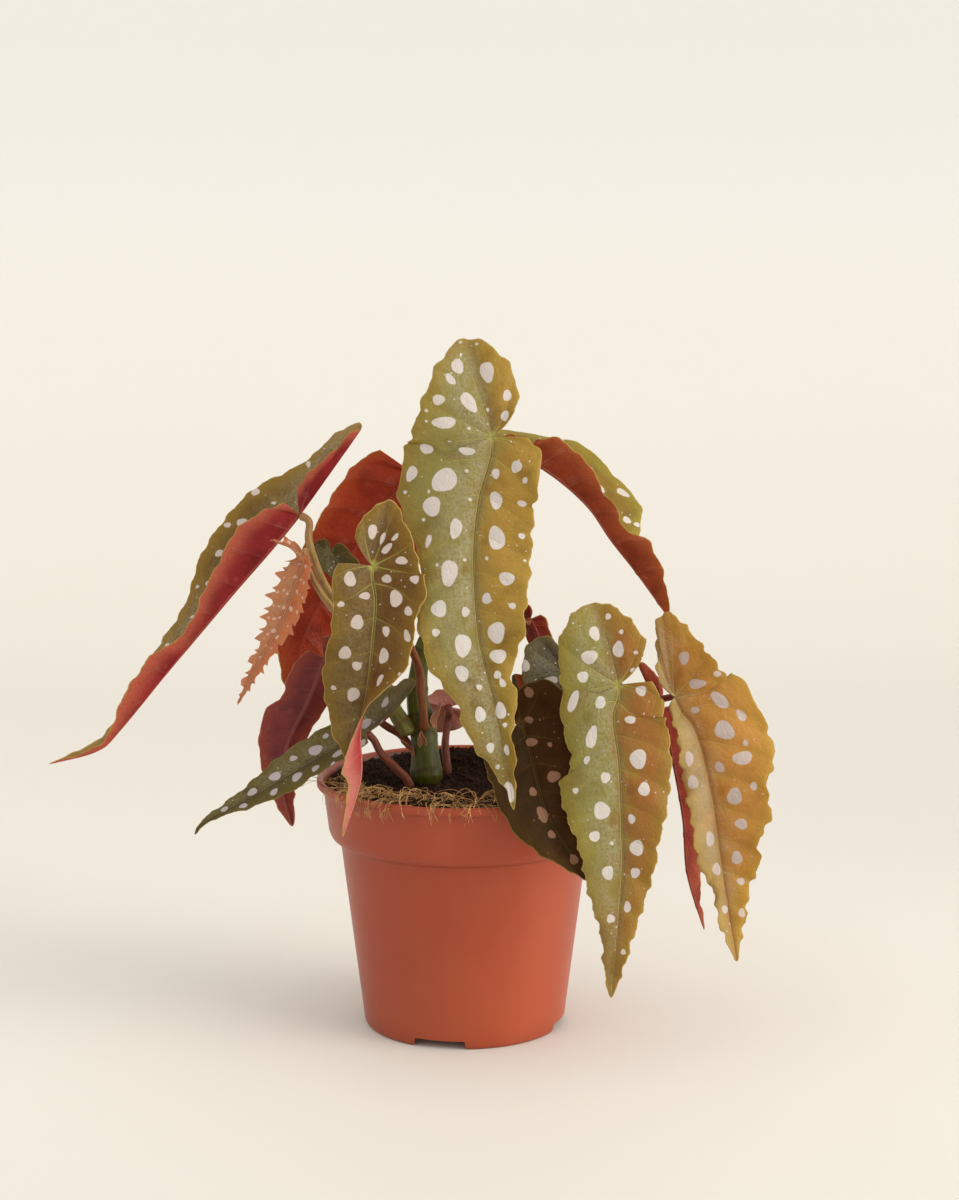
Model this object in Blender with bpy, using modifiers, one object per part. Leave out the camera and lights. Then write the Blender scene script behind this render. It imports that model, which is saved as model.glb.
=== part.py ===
"""Potted polka dot begonia (Begonia maculata) in a moulded nursery pot.

Metres, +Z up. While it is being built the pot's axis is at X = Y = 0 and the pot stands
on Z = 0. At the end the whole plant is shifted so that the origin is the middle of its
bounding box at floor level. -Y is the front.

Lengths below are in millimetres; MM turns them into metres.
"""
import math

import bmesh
import bpy
from mathutils import Vector

MM = 0.001
GAP = 0.3            # clearance left between two pieces that touch

# ---------------------------------------------------------------- pot
POT_HEIGHT = 102.6
LIP_RADIUS = 60.0
LIP_HEIGHT = 3.4
COLLAR_TOP_RADIUS = 57.3
COLLAR_FOOT_RADIUS = 55.0
COLLAR_FOOT_Z = 77.0
WALL_TOP_RADIUS = 50.4
FOOT_RADIUS = 40.8
WALL = 1.4
FLOOR_Z = 4.0
POT_STEPS = 40
NOTCH_WIDTH = 21.5
NOTCH_HEIGHT = 3.6
NOTCH_FIRST_ANGLE = -104.0
NOTCH_COUNT = 4
DRAIN_RADIUS = 4.0
DRAIN_RING = 27.0
DRAIN_COUNT = 6

# ---------------------------------------------------------------- soil
SOIL_CROWN_Z = 102.0
SOIL_EDGE_Z = 98.6
SOIL_CROWN_RADIUS = 34.0
SOIL_BACK_RISE = 5.0
SOCKET_DEPTH = 7.0

LITTER_RING = 50.2
LITTER_HALF_WIDTH = 4.6
LITTER_HALF_HEIGHT = 2.4
LITTER_FROM, LITTER_TO = -158.0, -38.0

# ---------------------------------------------------------------- blades
BLADE_THICKNESS = 0.6
VEIN_SWEEP = 0.55        # how far a side vein runs forward for each unit it runs out
RIB_STEPS = 3            # mesh steps from the midrib out to the margin

# Outline of an ordinary angel-wing blade, from the sinus down the narrow side to the tip
# and back up the broad side and round the ear. First number: across, in half widths
# (negative = narrow side). Second: along, in blade lengths (negative = in ear lengths).
WING = (
    (-0.80, 0.01), (-1.0, 0.12), (-0.98, 0.30), (-0.90, 0.46), (-0.72, 0.62), (-0.44, 0.79),
    (-0.17, 0.92), (0.0, 1.0),
    (0.17, 0.92), (0.44, 0.78), (0.72, 0.61), (0.90, 0.44), (1.0, 0.24), (0.99, 0.04),
    (0.92, -0.34), (0.70, -0.70), (0.38, -0.94), (0.02, -1.0), (-0.34, -0.86), (-0.50, -0.58),
    (-0.42, -0.30),
)
# Narrow, pointed young blade or bract without an ear.
LANCE = (
    (-0.60, 0.02), (-0.92, 0.16), (-1.0, 0.32), (-0.80, 0.58), (-0.42, 0.82), (0.0, 1.0),
    (0.42, 0.82), (0.80, 0.58), (1.0, 0.32), (0.92, 0.16), (0.60, 0.02),
)


class Blade:
    """One leaf blade: where its midrib runs, how wide it is, how it faces and folds."""

    def __init__(self, spine, face, outline=WING, broad=28.0, narrow=24.0, hand=1,
                 fold=((0, 0),), curl=((0, 0),), ruffle=1.2, waves=4, samples=44, thick=BLADE_THICKNESS,
                 measured=False, fans=(4, 9)):
        self.spine = [Vector(p) for p in spine]
        self.face = [Vector(v).normalized() for v in face]
        self.outline = outline
        self.broad, self.narrow, self.hand = broad, narrow, hand
        self.fold, self.curl = fold, curl
        self.ruffle, self.waves, self.thick = ruffle, waves, thick
        self.stations = samples // 5
        self.fan_near, self.fan_far = fans
        self.measured = measured
        self.lay_spine()

    def lay_spine(self):
        """Sample the midrib and note the arc length at each sample, zero at the attachment."""
        pts = self.spine
        ends = [pts[0] * 2 - pts[1]] + pts + [pts[-1] * 2 - pts[-2]]
        self.path, marks = [], []
        for i in range(1, len(ends) - 2):
            for k in range(12):
                self.path.append(catmull(ends[i - 1], ends[i], ends[i + 1], ends[i + 2], k / 12))
            marks.append((i - 1) * 12)
        self.path.append(pts[-1])
        run = [0.0]
        for a, b in zip(self.path, self.path[1:]):
            run.append(run[-1] + (b - a).length)
        self.ear = run[12] if len(pts) > 2 and self.outline is not LANCE else 0.0
        self.run = [r - self.ear for r in run]
        self.length = self.run[-1]

    def frame(self, s):
        """Point, direction along, direction across and upper-face normal at arc length s."""
        run, path = self.run, self.path
        i = 0
        while i < len(run) - 2 and run[i + 1] < s:
            i += 1
        span = run[i + 1] - run[i]
        t = (s - run[i]) / span
        along = (path[i + 1] - path[i]).normalized()
        if 0 < i < len(run) - 2:
            near = (path[i] - path[i - 1]) if t < 0.5 else (path[i + 2] - path[i + 1])
            near.normalize()
            along = along.lerp(near, abs(t - 0.5)).normalized()
        point = path[i].lerp(path[i + 1], t)
        u = min(1.0, max(0.0, (s + self.ear) / (self.length + self.ear)))
        facing = mix(self.face, u)
        normal = (facing - along * facing.dot(along)).normalized()
        return point, along, normal.cross(along), normal

    def margin(self):
        """The outline as a run of (across, along) points in millimetres.

        It is stretched along so that it ends where the midrib does.
        """
        top = max(s for _, s in self.outline)
        low = -min(s for _, s in self.outline)
        out = []
        for a, s in self.outline:
            across = a if self.measured else a * (self.narrow if a < 0 else self.broad) * self.hand
            out.append((across, s / top * self.length if s > 0 else s / max(low, 0.1) * self.ear))
        return out

    def halves(self):
        """The outline drawn as a spline and split at the tip: sinus to tip, tip round to the ear."""
        pts = [Vector((a, s, 0)) for a, s in self.margin()]
        ends = [Vector((0, 0, 0))] + pts + [Vector((0, 0, 0))]
        fine = []
        for i in range(1, len(ends) - 2):
            for k in range(8):
                fine.append(catmull(ends[i - 1], ends[i], ends[i + 1], ends[i + 2], k / 8))
        fine.append(pts[-1])
        tip = max(range(len(fine)), key=lambda i: fine[i].y)
        return fine[:tip + 1], list(reversed(fine[tip:]))

    def ribs(self, edge, fan):
        """(root on the midrib, margin point) pairs along one half, from the sinus to the tip.

        The first ones fan out from the attachment; the rest start at even stations along
        the midrib, so that the two halves share their roots.
        """
        roots, most = [], 0.0
        for p in edge:
            most = max(most, min(self.length, p.y - VEIN_SWEEP * abs(p.x)))
            roots.append(most)
        roots[0], roots[-1] = 0.0, self.length
        first = max(2, max(i for i, r in enumerate(roots) if r <= 0.0))
        out = [(0.0, p) for p in resample(edge[:first + 1], fan)]
        for k in range(1, self.stations):
            want = self.length * k / self.stations
            i = first
            while i < len(roots) - 2 and roots[i + 1] < want:
                i += 1
            t = (want - roots[i]) / max(1e-6, roots[i + 1] - roots[i])
            out.append((want, edge[i].lerp(edge[i + 1], min(1.0, t))))
        return out + [(self.length, edge[-1])]

    def bend(self, across, s):
        """Where a point of the flat blade ends up once the blade is folded and curled."""
        point, along, side, normal = self.frame(s)
        u = min(1.0, max(0.0, (s + self.ear) / (self.length + self.ear)))
        k = 1 if across > 0 else 0
        fold = math.radians(mix([Vector((f[k], 0, 0)) for f in self.fold], u).x)
        curl = math.radians(mix([Vector((c[k], 0, 0)) for c in self.curl], u).x)
        width = self.broad if (across * self.hand > 0) else self.narrow
        x = abs(across)
        rate = curl / width
        if abs(rate) < 1e-5:
            out, up = x * math.cos(fold), x * math.sin(fold)
        else:
            out = (math.sin(fold + rate * x) - math.sin(fold)) / rate
            up = (math.cos(fold) - math.cos(fold + rate * x)) / rate
        return point + side * math.copysign(out, across) + normal * up

    def sheet(self):
        """Mesh of the mid surface: vertices and quads, one row per rib."""
        verts, faces = [], []
        near, far = self.halves()
        rows = self.ribs(near, self.fan_near) + list(reversed(self.ribs(far, self.fan_far)))[1:]
        for j, (root, edge) in enumerate(rows):
            for i in range(RIB_STEPS + 1):
                t = i / RIB_STEPS
                bow = Vector((edge.x * 0.52, root + (edge.y - root) * 0.36, 0))
                flat = Vector((0, root, 0)).lerp(bow, t).lerp(bow.lerp(edge, t), t)
                wave = self.ruffle * t * t * math.sin(2 * math.pi * self.waves * j / len(rows))
                wave *= max(0.0, min(1.0, (self.length - flat.y) / 12.0))
                lift = self.frame(flat.y)[3] * wave
                verts.append(self.bend(flat.x, flat.y) + lift)
        for j in range(len(rows) - 1):
            for i in range(RIB_STEPS):
                a = j * (RIB_STEPS + 1) + i
                faces.append((a, a + RIB_STEPS + 1, a + RIB_STEPS + 2, a + 1))
        return verts, faces

    def underside(self, reach):
        """Point at a given distance under the attachment, and the way up from it."""
        point, _, _, normal = self.frame(0.0)
        return point - normal * reach, normal


# ---------------------------------------------------------------- small maths
def catmull(p0, p1, p2, p3, t):
    """Point at t between p1 and p2 on the smooth curve through all four."""
    return 0.5 * ((2 * p1) + (p2 - p0) * t + (2 * p0 - 5 * p1 + 4 * p2 - p3) * t * t
                  + (3 * p1 - p0 - 3 * p2 + p3) * t * t * t)


def mix(stops, u):
    """Blend evenly spaced vectors."""
    if len(stops) == 1:
        return stops[0]
    x = u * (len(stops) - 1)
    i = min(len(stops) - 2, int(x))
    t = x - i
    t = t * t * (3 - 2 * t)
    return stops[i].lerp(stops[i + 1], t)


def resample(points, count):
    """Evenly spaced points along a run of points."""
    run = [0.0]
    for a, b in zip(points, points[1:]):
        run.append(run[-1] + (b - a).length)
    out, i = [], 0
    for k in range(count):
        want = run[-1] * k / (count - 1)
        while i < len(run) - 2 and run[i + 1] < want:
            i += 1
        out.append(points[i].lerp(points[i + 1], (want - run[i]) / max(1e-9, run[i + 1] - run[i])))
    return out


# ---------------------------------------------------------------- building blocks
def collection(name):
    coll = bpy.data.collections.new(name)
    bpy.context.scene.collection.children.link(coll)
    return coll


def material(name, colour, roughness=0.5, metallic=0.0):
    mat = bpy.data.materials.new(name)
    mat.use_nodes = True
    bsdf = mat.node_tree.nodes["Principled BSDF"]
    bsdf.inputs["Base Color"].default_value = (*colour, 1.0)
    bsdf.inputs["Roughness"].default_value = roughness
    bsdf.inputs["Metallic"].default_value = metallic
    mat.diffuse_color = (*colour, 1.0)
    return mat


def mesh_object(name, verts, faces, coll, mat=None):
    mesh = bpy.data.meshes.new(name)
    mesh.from_pydata([v * MM for v in verts], [], faces)
    obj = bpy.data.objects.new(name, mesh)
    coll.objects.link(obj)
    if mat:
        mesh.materials.append(mat)
    return obj


def weld(obj, distance=1e-6):
    bm = bmesh.new()
    bm.from_mesh(obj.data)
    bmesh.ops.remove_doubles(bm, verts=bm.verts, dist=distance)
    bmesh.ops.dissolve_degenerate(bm, dist=distance, edges=bm.edges)
    bmesh.ops.recalc_face_normals(bm, faces=bm.faces)
    bm.to_mesh(obj.data)
    bm.free()


def turned(name, profile, steps, coll, mat=None):
    """Solid of revolution about Z from a profile that starts and ends on the axis."""
    obj = mesh_object(name, [Vector((r, 0, z)) for r, z in profile], [], coll, mat)
    bm = bmesh.new()
    bm.from_mesh(obj.data)
    bm.verts.ensure_lookup_table()
    for a, b in zip(list(bm.verts), list(bm.verts)[1:]):
        bm.edges.new((a, b))
    bm.to_mesh(obj.data)
    bm.free()
    screw = obj.modifiers.new("Screw", "SCREW")
    screw.axis = "Z"
    screw.steps = screw.render_steps = steps
    screw.use_merge_vertices = True
    screw.merge_threshold = 0.0001
    return obj


def apply_modifiers(obj):
    """Swap the object's mesh for the one its modifiers make."""
    graph = bpy.context.evaluated_depsgraph_get()
    graph.update()
    fresh = bpy.data.meshes.new_from_object(obj.evaluated_get(graph))
    obj.modifiers.clear()
    obj.data = fresh


def tube(name, points, radii, coll, mat=None, resolution=2):
    """Round stalk along a run of points, with flat ends."""
    curve = bpy.data.curves.new(name, "CURVE")
    curve.dimensions = "3D"
    curve.bevel_depth = MM
    curve.bevel_resolution = resolution
    curve.use_fill_caps = True
    curve.twist_mode = "MINIMUM"
    spline = curve.splines.new("POLY")
    spline.points.add(len(points) - 1)
    for i, (p, r) in enumerate(zip(points, radii)):
        spline.points[i].co = (*(Vector(p) * MM), 1.0)
        spline.points[i].radius = r
    obj = bpy.data.objects.new(name, curve)
    coll.objects.link(obj)
    bpy.context.view_layer.update()
    mesh = bpy.data.meshes.new_from_object(obj)
    bpy.data.objects.remove(obj)
    solid = bpy.data.objects.new(name, mesh)
    coll.objects.link(solid)
    if mat:
        mesh.materials.append(mat)
    weld(solid, 1e-5)
    return solid


def flowing(points, pieces=3):
    """Smooth run through a few points."""
    pts = [Vector(p) for p in points]
    ends = [pts[0] * 2 - pts[1]] + pts + [pts[-1] * 2 - pts[-2]]
    out = []
    for i in range(1, len(ends) - 2):
        for k in range(pieces):
            out.append(catmull(ends[i - 1], ends[i], ends[i + 1], ends[i + 2], k / pieces))
    out.append(pts[-1])
    return out


def cylinder(name, centre, radius, height, coll, sides=24):
    mesh = bpy.data.meshes.new(name)
    bm = bmesh.new()
    bmesh.ops.create_cone(bm, cap_ends=True, segments=sides, radius1=radius * MM, radius2=radius * MM,
                          depth=height * MM)
    bm.to_mesh(mesh)
    bm.free()
    obj = bpy.data.objects.new(name, mesh)
    obj.location = Vector(centre) * MM
    coll.objects.link(obj)
    return obj


def box(name, centre, size, turn, coll):
    mesh = bpy.data.meshes.new(name)
    bm = bmesh.new()
    bmesh.ops.create_cube(bm, size=1.0)
    bmesh.ops.scale(bm, vec=Vector(size) * MM, verts=bm.verts)
    bm.to_mesh(mesh)
    bm.free()
    obj = bpy.data.objects.new(name, mesh)
    obj.location = Vector(centre) * MM
    obj.rotation_euler = (0, 0, math.radians(turn))
    coll.objects.link(obj)
    return obj


def cut(obj, cutters):
    """Take the cutters out of an object."""
    for tool in cutters:
        tool.hide_render = True
        tool.display_type = "WIRE"
        mod = obj.modifiers.new("cut " + tool.name, "BOOLEAN")
        mod.operation = "DIFFERENCE"
        mod.solver = "EXACT"
        mod.object = tool


# ---------------------------------------------------------------- pot
def pot_profile():
    """Half section of the pot: up to the lip, down the outside, under the foot, up the inside."""
    h = POT_HEIGHT
    lip = LIP_RADIUS
    return [
        (0.0, FLOOR_Z + WALL), (36.6, FLOOR_Z + WALL), (38.9, FLOOR_Z + 2.6),
        (WALL_TOP_RADIUS - WALL, COLLAR_FOOT_Z - 1.0), (WALL_TOP_RADIUS - WALL + 0.6, COLLAR_FOOT_Z + 1.2),
        (COLLAR_FOOT_RADIUS - 2.4, COLLAR_FOOT_Z + 2.2), (COLLAR_FOOT_RADIUS - 1.3, COLLAR_FOOT_Z + 4.6),
        (COLLAR_TOP_RADIUS - WALL, h - 4.0), (COLLAR_TOP_RADIUS - 0.2, h - 1.2),
        (COLLAR_TOP_RADIUS + 0.6, h - 0.2),
        (lip - 1.0, h), (lip - 0.25, h - 0.3), (lip, h - 1.0), (lip, h - LIP_HEIGHT + 0.4),
        (lip - 0.5, h - LIP_HEIGHT), (COLLAR_TOP_RADIUS + 0.3, h - LIP_HEIGHT - 0.2),
        (COLLAR_TOP_RADIUS, h - LIP_HEIGHT - 0.8),
        (COLLAR_FOOT_RADIUS + 0.2, COLLAR_FOOT_Z + 4.2), (COLLAR_FOOT_RADIUS - 0.9, COLLAR_FOOT_Z + 1.5),
        (COLLAR_FOOT_RADIUS - 2.8, COLLAR_FOOT_Z + 0.3), (WALL_TOP_RADIUS + 0.5, COLLAR_FOOT_Z - 0.2),
        (WALL_TOP_RADIUS, COLLAR_FOOT_Z - 1.4),
        (FOOT_RADIUS + 0.25, 1.2), (FOOT_RADIUS - 0.5, 0.0), (FOOT_RADIUS - 2.4, 0.0),
        (FOOT_RADIUS - 2.7, 0.6), (FOOT_RADIUS - 3.0, FLOOR_Z - 0.5), (FOOT_RADIUS - 3.8, FLOOR_Z),
        (0.0, FLOOR_Z),
    ]


def build_pot(parts, tools, mat):
    pot = turned("pot", pot_profile(), POT_STEPS, parts, mat)
    apply_modifiers(pot)
    weld(pot, 1e-6)
    cutters = []
    for k in range(NOTCH_COUNT):
        angle = NOTCH_FIRST_ANGLE + 360.0 * k / NOTCH_COUNT
        reach = FOOT_RADIUS - 1.5
        centre = (reach * math.cos(math.radians(angle)), reach * math.sin(math.radians(angle)),
                  (NOTCH_HEIGHT - 4.0) / 2)
        size = (12.0, NOTCH_WIDTH, NOTCH_HEIGHT + 4.0)
        cutters.append(box(f"foot notch cutter {k}", centre, size, angle, tools))
    for k in range(DRAIN_COUNT):
        angle = math.radians(NOTCH_FIRST_ANGLE + 30.0 + 360.0 * k / DRAIN_COUNT)
        centre = (DRAIN_RING * math.cos(angle), DRAIN_RING * math.sin(angle), FLOOR_Z)
        cutters.append(cylinder(f"drain cutter {k}", centre, DRAIN_RADIUS, 8.0, tools, 20))
    cut(pot, cutters)
    bpy.context.view_layer.update()
    apply_modifiers(pot)
    weld(pot, 1e-6)
    return pot


# ---------------------------------------------------------------- soil
def soil_profile():
    """The root ball fills the pot to just under the lip, a hair's breadth off the wall."""
    inner = WALL_TOP_RADIUS - WALL
    return [
        (0.0, SOIL_CROWN_Z), (SOIL_CROWN_RADIUS * 0.5, SOIL_CROWN_Z), (SOIL_CROWN_RADIUS, SOIL_CROWN_Z),
        (43.0, SOIL_EDGE_Z + 0.6), (47.0, SOIL_EDGE_Z), (54.2, SOIL_EDGE_Z - 0.4), (55.0, SOIL_EDGE_Z - 1.4),
        (COLLAR_FOOT_RADIUS - 1.3 - GAP - 0.1, COLLAR_FOOT_Z + 4.8),
        (COLLAR_FOOT_RADIUS - 2.4 - GAP, COLLAR_FOOT_Z + 2.2 + GAP),
        (inner + 0.3 - GAP, COLLAR_FOOT_Z + 1.6), (inner - GAP - 0.1, COLLAR_FOOT_Z - 1.0),
        (38.9 - GAP - 0.1, FLOOR_Z + 2.6 + GAP), (36.6 - GAP, FLOOR_Z + WALL + GAP),
        (0.0, FLOOR_Z + WALL + GAP),
    ]


def build_soil(parts, tools, mat, stalks):
    soil = turned("potting_soil", soil_profile(), POT_STEPS, parts, mat)
    apply_modifiers(soil)
    weld(soil, 1e-6)
    for v in soil.data.vertices:
        if v.co.z > (SOIL_CROWN_Z - 0.5) * MM:
            back = min(1.0, max(0.0, (v.co.y / MM - 6.0) / 22.0))
            v.co.z += SOIL_BACK_RISE * MM * back * back * (3 - 2 * back)
    cutters = []
    for k, (x, y, radius) in enumerate(stalks):
        cutters.append(cylinder(f"socket cutter {k}", (x, y, SOIL_CROWN_Z + 10.0 - SOCKET_DEPTH - GAP),
                                radius + GAP + 0.4, 20.0, tools, 24))
    cut(soil, cutters)
    bpy.context.view_layer.update()
    apply_modifiers(soil)
    weld(soil, 1e-6)
    return soil


def build_litter(parts, mat):
    """Crescent of loose coir lying on the soil just inside the front of the lip."""
    sectors, ring = 30, 10
    verts, faces = [], []
    base_z = SOIL_EDGE_Z + 0.2 + GAP + LITTER_HALF_HEIGHT
    for i in range(sectors + 1):
        t = i / sectors
        angle = math.radians(LITTER_FROM + (LITTER_TO - LITTER_FROM) * t)
        swell = 0.35 + 0.65 * math.sin(math.pi * t) ** 0.5
        swell *= 1.0 + 0.12 * math.sin(17 * t) * math.sin(math.pi * t)
        for k in range(ring):
            turn = 2 * math.pi * k / ring
            r = LITTER_RING + LITTER_HALF_WIDTH * swell * math.cos(turn)
            z = base_z - LITTER_HALF_HEIGHT + LITTER_HALF_HEIGHT * swell * (1 + math.sin(turn))
            verts.append(Vector((r * math.cos(angle), r * math.sin(angle), z)))
    for i in range(sectors):
        for k in range(ring):
            a, b = i * ring + k, i * ring + (k + 1) % ring
            faces.append((a, b, b + ring, a + ring))
    faces.append(tuple(reversed(range(ring))))
    faces.append(tuple(sectors * ring + k for k in range(ring)))
    obj = mesh_object("coir_litter", verts, faces, parts, mat)
    weld(obj)
    return obj


# ---------------------------------------------------------------- canes
# name: (run of points, radii at those points); a rooted cane starts in its socket
CANES = {
    "cane_main": (((-15, -12, 95.3), (-15, -12, 104), (-16, -8, 118), (-17, -5, 125), (-19, -3, 136),
        (-17, 0, 152), (-9, 2, 172), (-1, 1, 192), (4, 0, 212), (5, -1, 224)), (6.3, 6.3, 5.2, 5.1, 4.0,
        3.6, 3.2, 3.0, 3.0, 2.2)),
    "cane_right": (((22, -2, 95.3), (22, -2, 104), (27, -3, 111), (34, -5, 120), (41, -7, 131),
        (47, -9, 144), (51, -11, 157)), (4.6, 4.6, 3.9, 3.5, 3.3, 3.1, 2.4)),
}
# a side cane leaves another one: (name, cane, how far up it, points after the start, radii)
SIDE_CANES = (
    ("cane_left", "cane_main", 0.235, ((-29, -7, 132.5), (-36, -8, 152), (-43, -8, 166), (-49, -8, 179)),
     (3.1, 3.1, 3.0, 2.8, 2.7, 2.9)),
)
ROOTED = ((-15, -12, 6.3), (22, -2, 4.6), (-22, -18, 2.0), (-7, 8, 1.8))

# ---------------------------------------------------------------- leaves
FRONT_TALL = (
    (14, 1), (19, 6), (21, 17), (21, 24), (22, 33), (22, 46), (21, 58), (19, 69), (17, 82), (12, 90), (9, 98), (9, 107), (5, 116), (4, 126), (2, 138), (0, 146), (-2, 137), (-5, 130),
    (-10, 121), (-13, 112), (-14, 102), (-18, 93), (-21, 85), (-22, 76), (-23, 65), (-20, 56), (-21, 48),
    (-25, 40), (-30, 31), (-32, 22), (-33, 12), (-32, 0), (-29, -11), (-24, -20), (-19, -27), (-14, -33),
    (-7, -38), (-1, -40), (5, -37), (10, -31), (13, -23), (13, -15), (10, -8),
)
FRONT_LEFT_SMALL = (
    (-13, 0.5), (-15.5, 5), (-16, 15), (-16, 26), (-18, 41), (-16, 54), (-11, 64),
    (-7, 72), (-5, 84), (-3, 96), (0, 106), (3, 96), (5, 84), (9, 76), (8, 66), (10, 56), (15, 46),
    (17, 38), (16, 28), (17, 16), (20, 12), (19, 3), (17, -4), (14, -11), (9, -18), (4, -24), (0, -26),
    (-4, -22), (-8, -17), (-9, -9),
)
RIGHT_FRONT = (
    (13, 0.5), (18, 7), (20, 20), (20, 31), (18, 46), (14, 61), (11, 76), (8, 89),
    (4, 106), (0, 120), (-4, 108), (-6, 97), (-13, 79), (-17, 61), (-21, 50), (-23, 38), (-19, 32),
    (-18, 24), (-20, 12), (-21, 0), (-21, -9), (-19, -17), (-18, -22), (-12, -29), (-6, -33), (1, -33),
    (7, -29), (12, -21), (14, -12), (10, -6),
)
RIGHT_OUTER = (
    (-4, 3), (-5, 7), (-8, 17), (-11, 30), (-11, 42), (-10, 54), (-10, 68), (-7, 74), (-5, 82), (-5, 90),
    (-3, 98), (0, 107), (3, 99), (6.5, 90), (10, 78), (15, 70), (16, 61), (22, 52), (22, 42), (27, 32),
    (27, 23), (26, 12), (23, 0), (19, -11), (14, -19), (9, -26), (5, -31), (1, -33), (-3, -30),
    (-4, -23), (-5, -13), (-5, -7),
)

LEFT_PURPLE = (
    (7, 0), (10, 5), (12, 16), (12, 29), (16, 35), (15, 46), (10, 58), (5, 71), (0, 84),
    (-4, 72), (-6, 60), (-8, 46), (-10, 30), (-12, 16), (-12, 2), (-9, -6), (-4, -11), (1, -12), (4.5, -8),
)
LEFT_YOUNG = (
    (4, 0.5), (6, 8), (6.5, 16), (6, 28), (4, 40), (2, 51), (0, 62), (-2, 51), (-4, 40),
    (-7, 28), (-7.5, 16), (-6, 6), (-4, -2), (-3, -9), (-0.6, -14), (1.8, -10), (2.6, -5),
)
LEFT_LONG = (
    (8, 0), (12, 8), (14, 18), (14, 29), (12, 42), (9, 55), (6.5, 66), (6, 73), (9, 81), (8, 95),
    (6, 108), (4, 120), (2, 133), (0, 143), (-2, 133), (-3, 120), (-4, 108), (-6, 95), (-10, 84),
    (-14, 72), (-16, 62), (-19, 51), (-24, 40), (-27, 27), (-27, 13), (-24, 0), (-18, -12), (-14, -22),
    (-12, -31), (-8, -38), (-2, -43), (3, -38), (5, -29), (7, -18), (7, -9),
)

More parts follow.
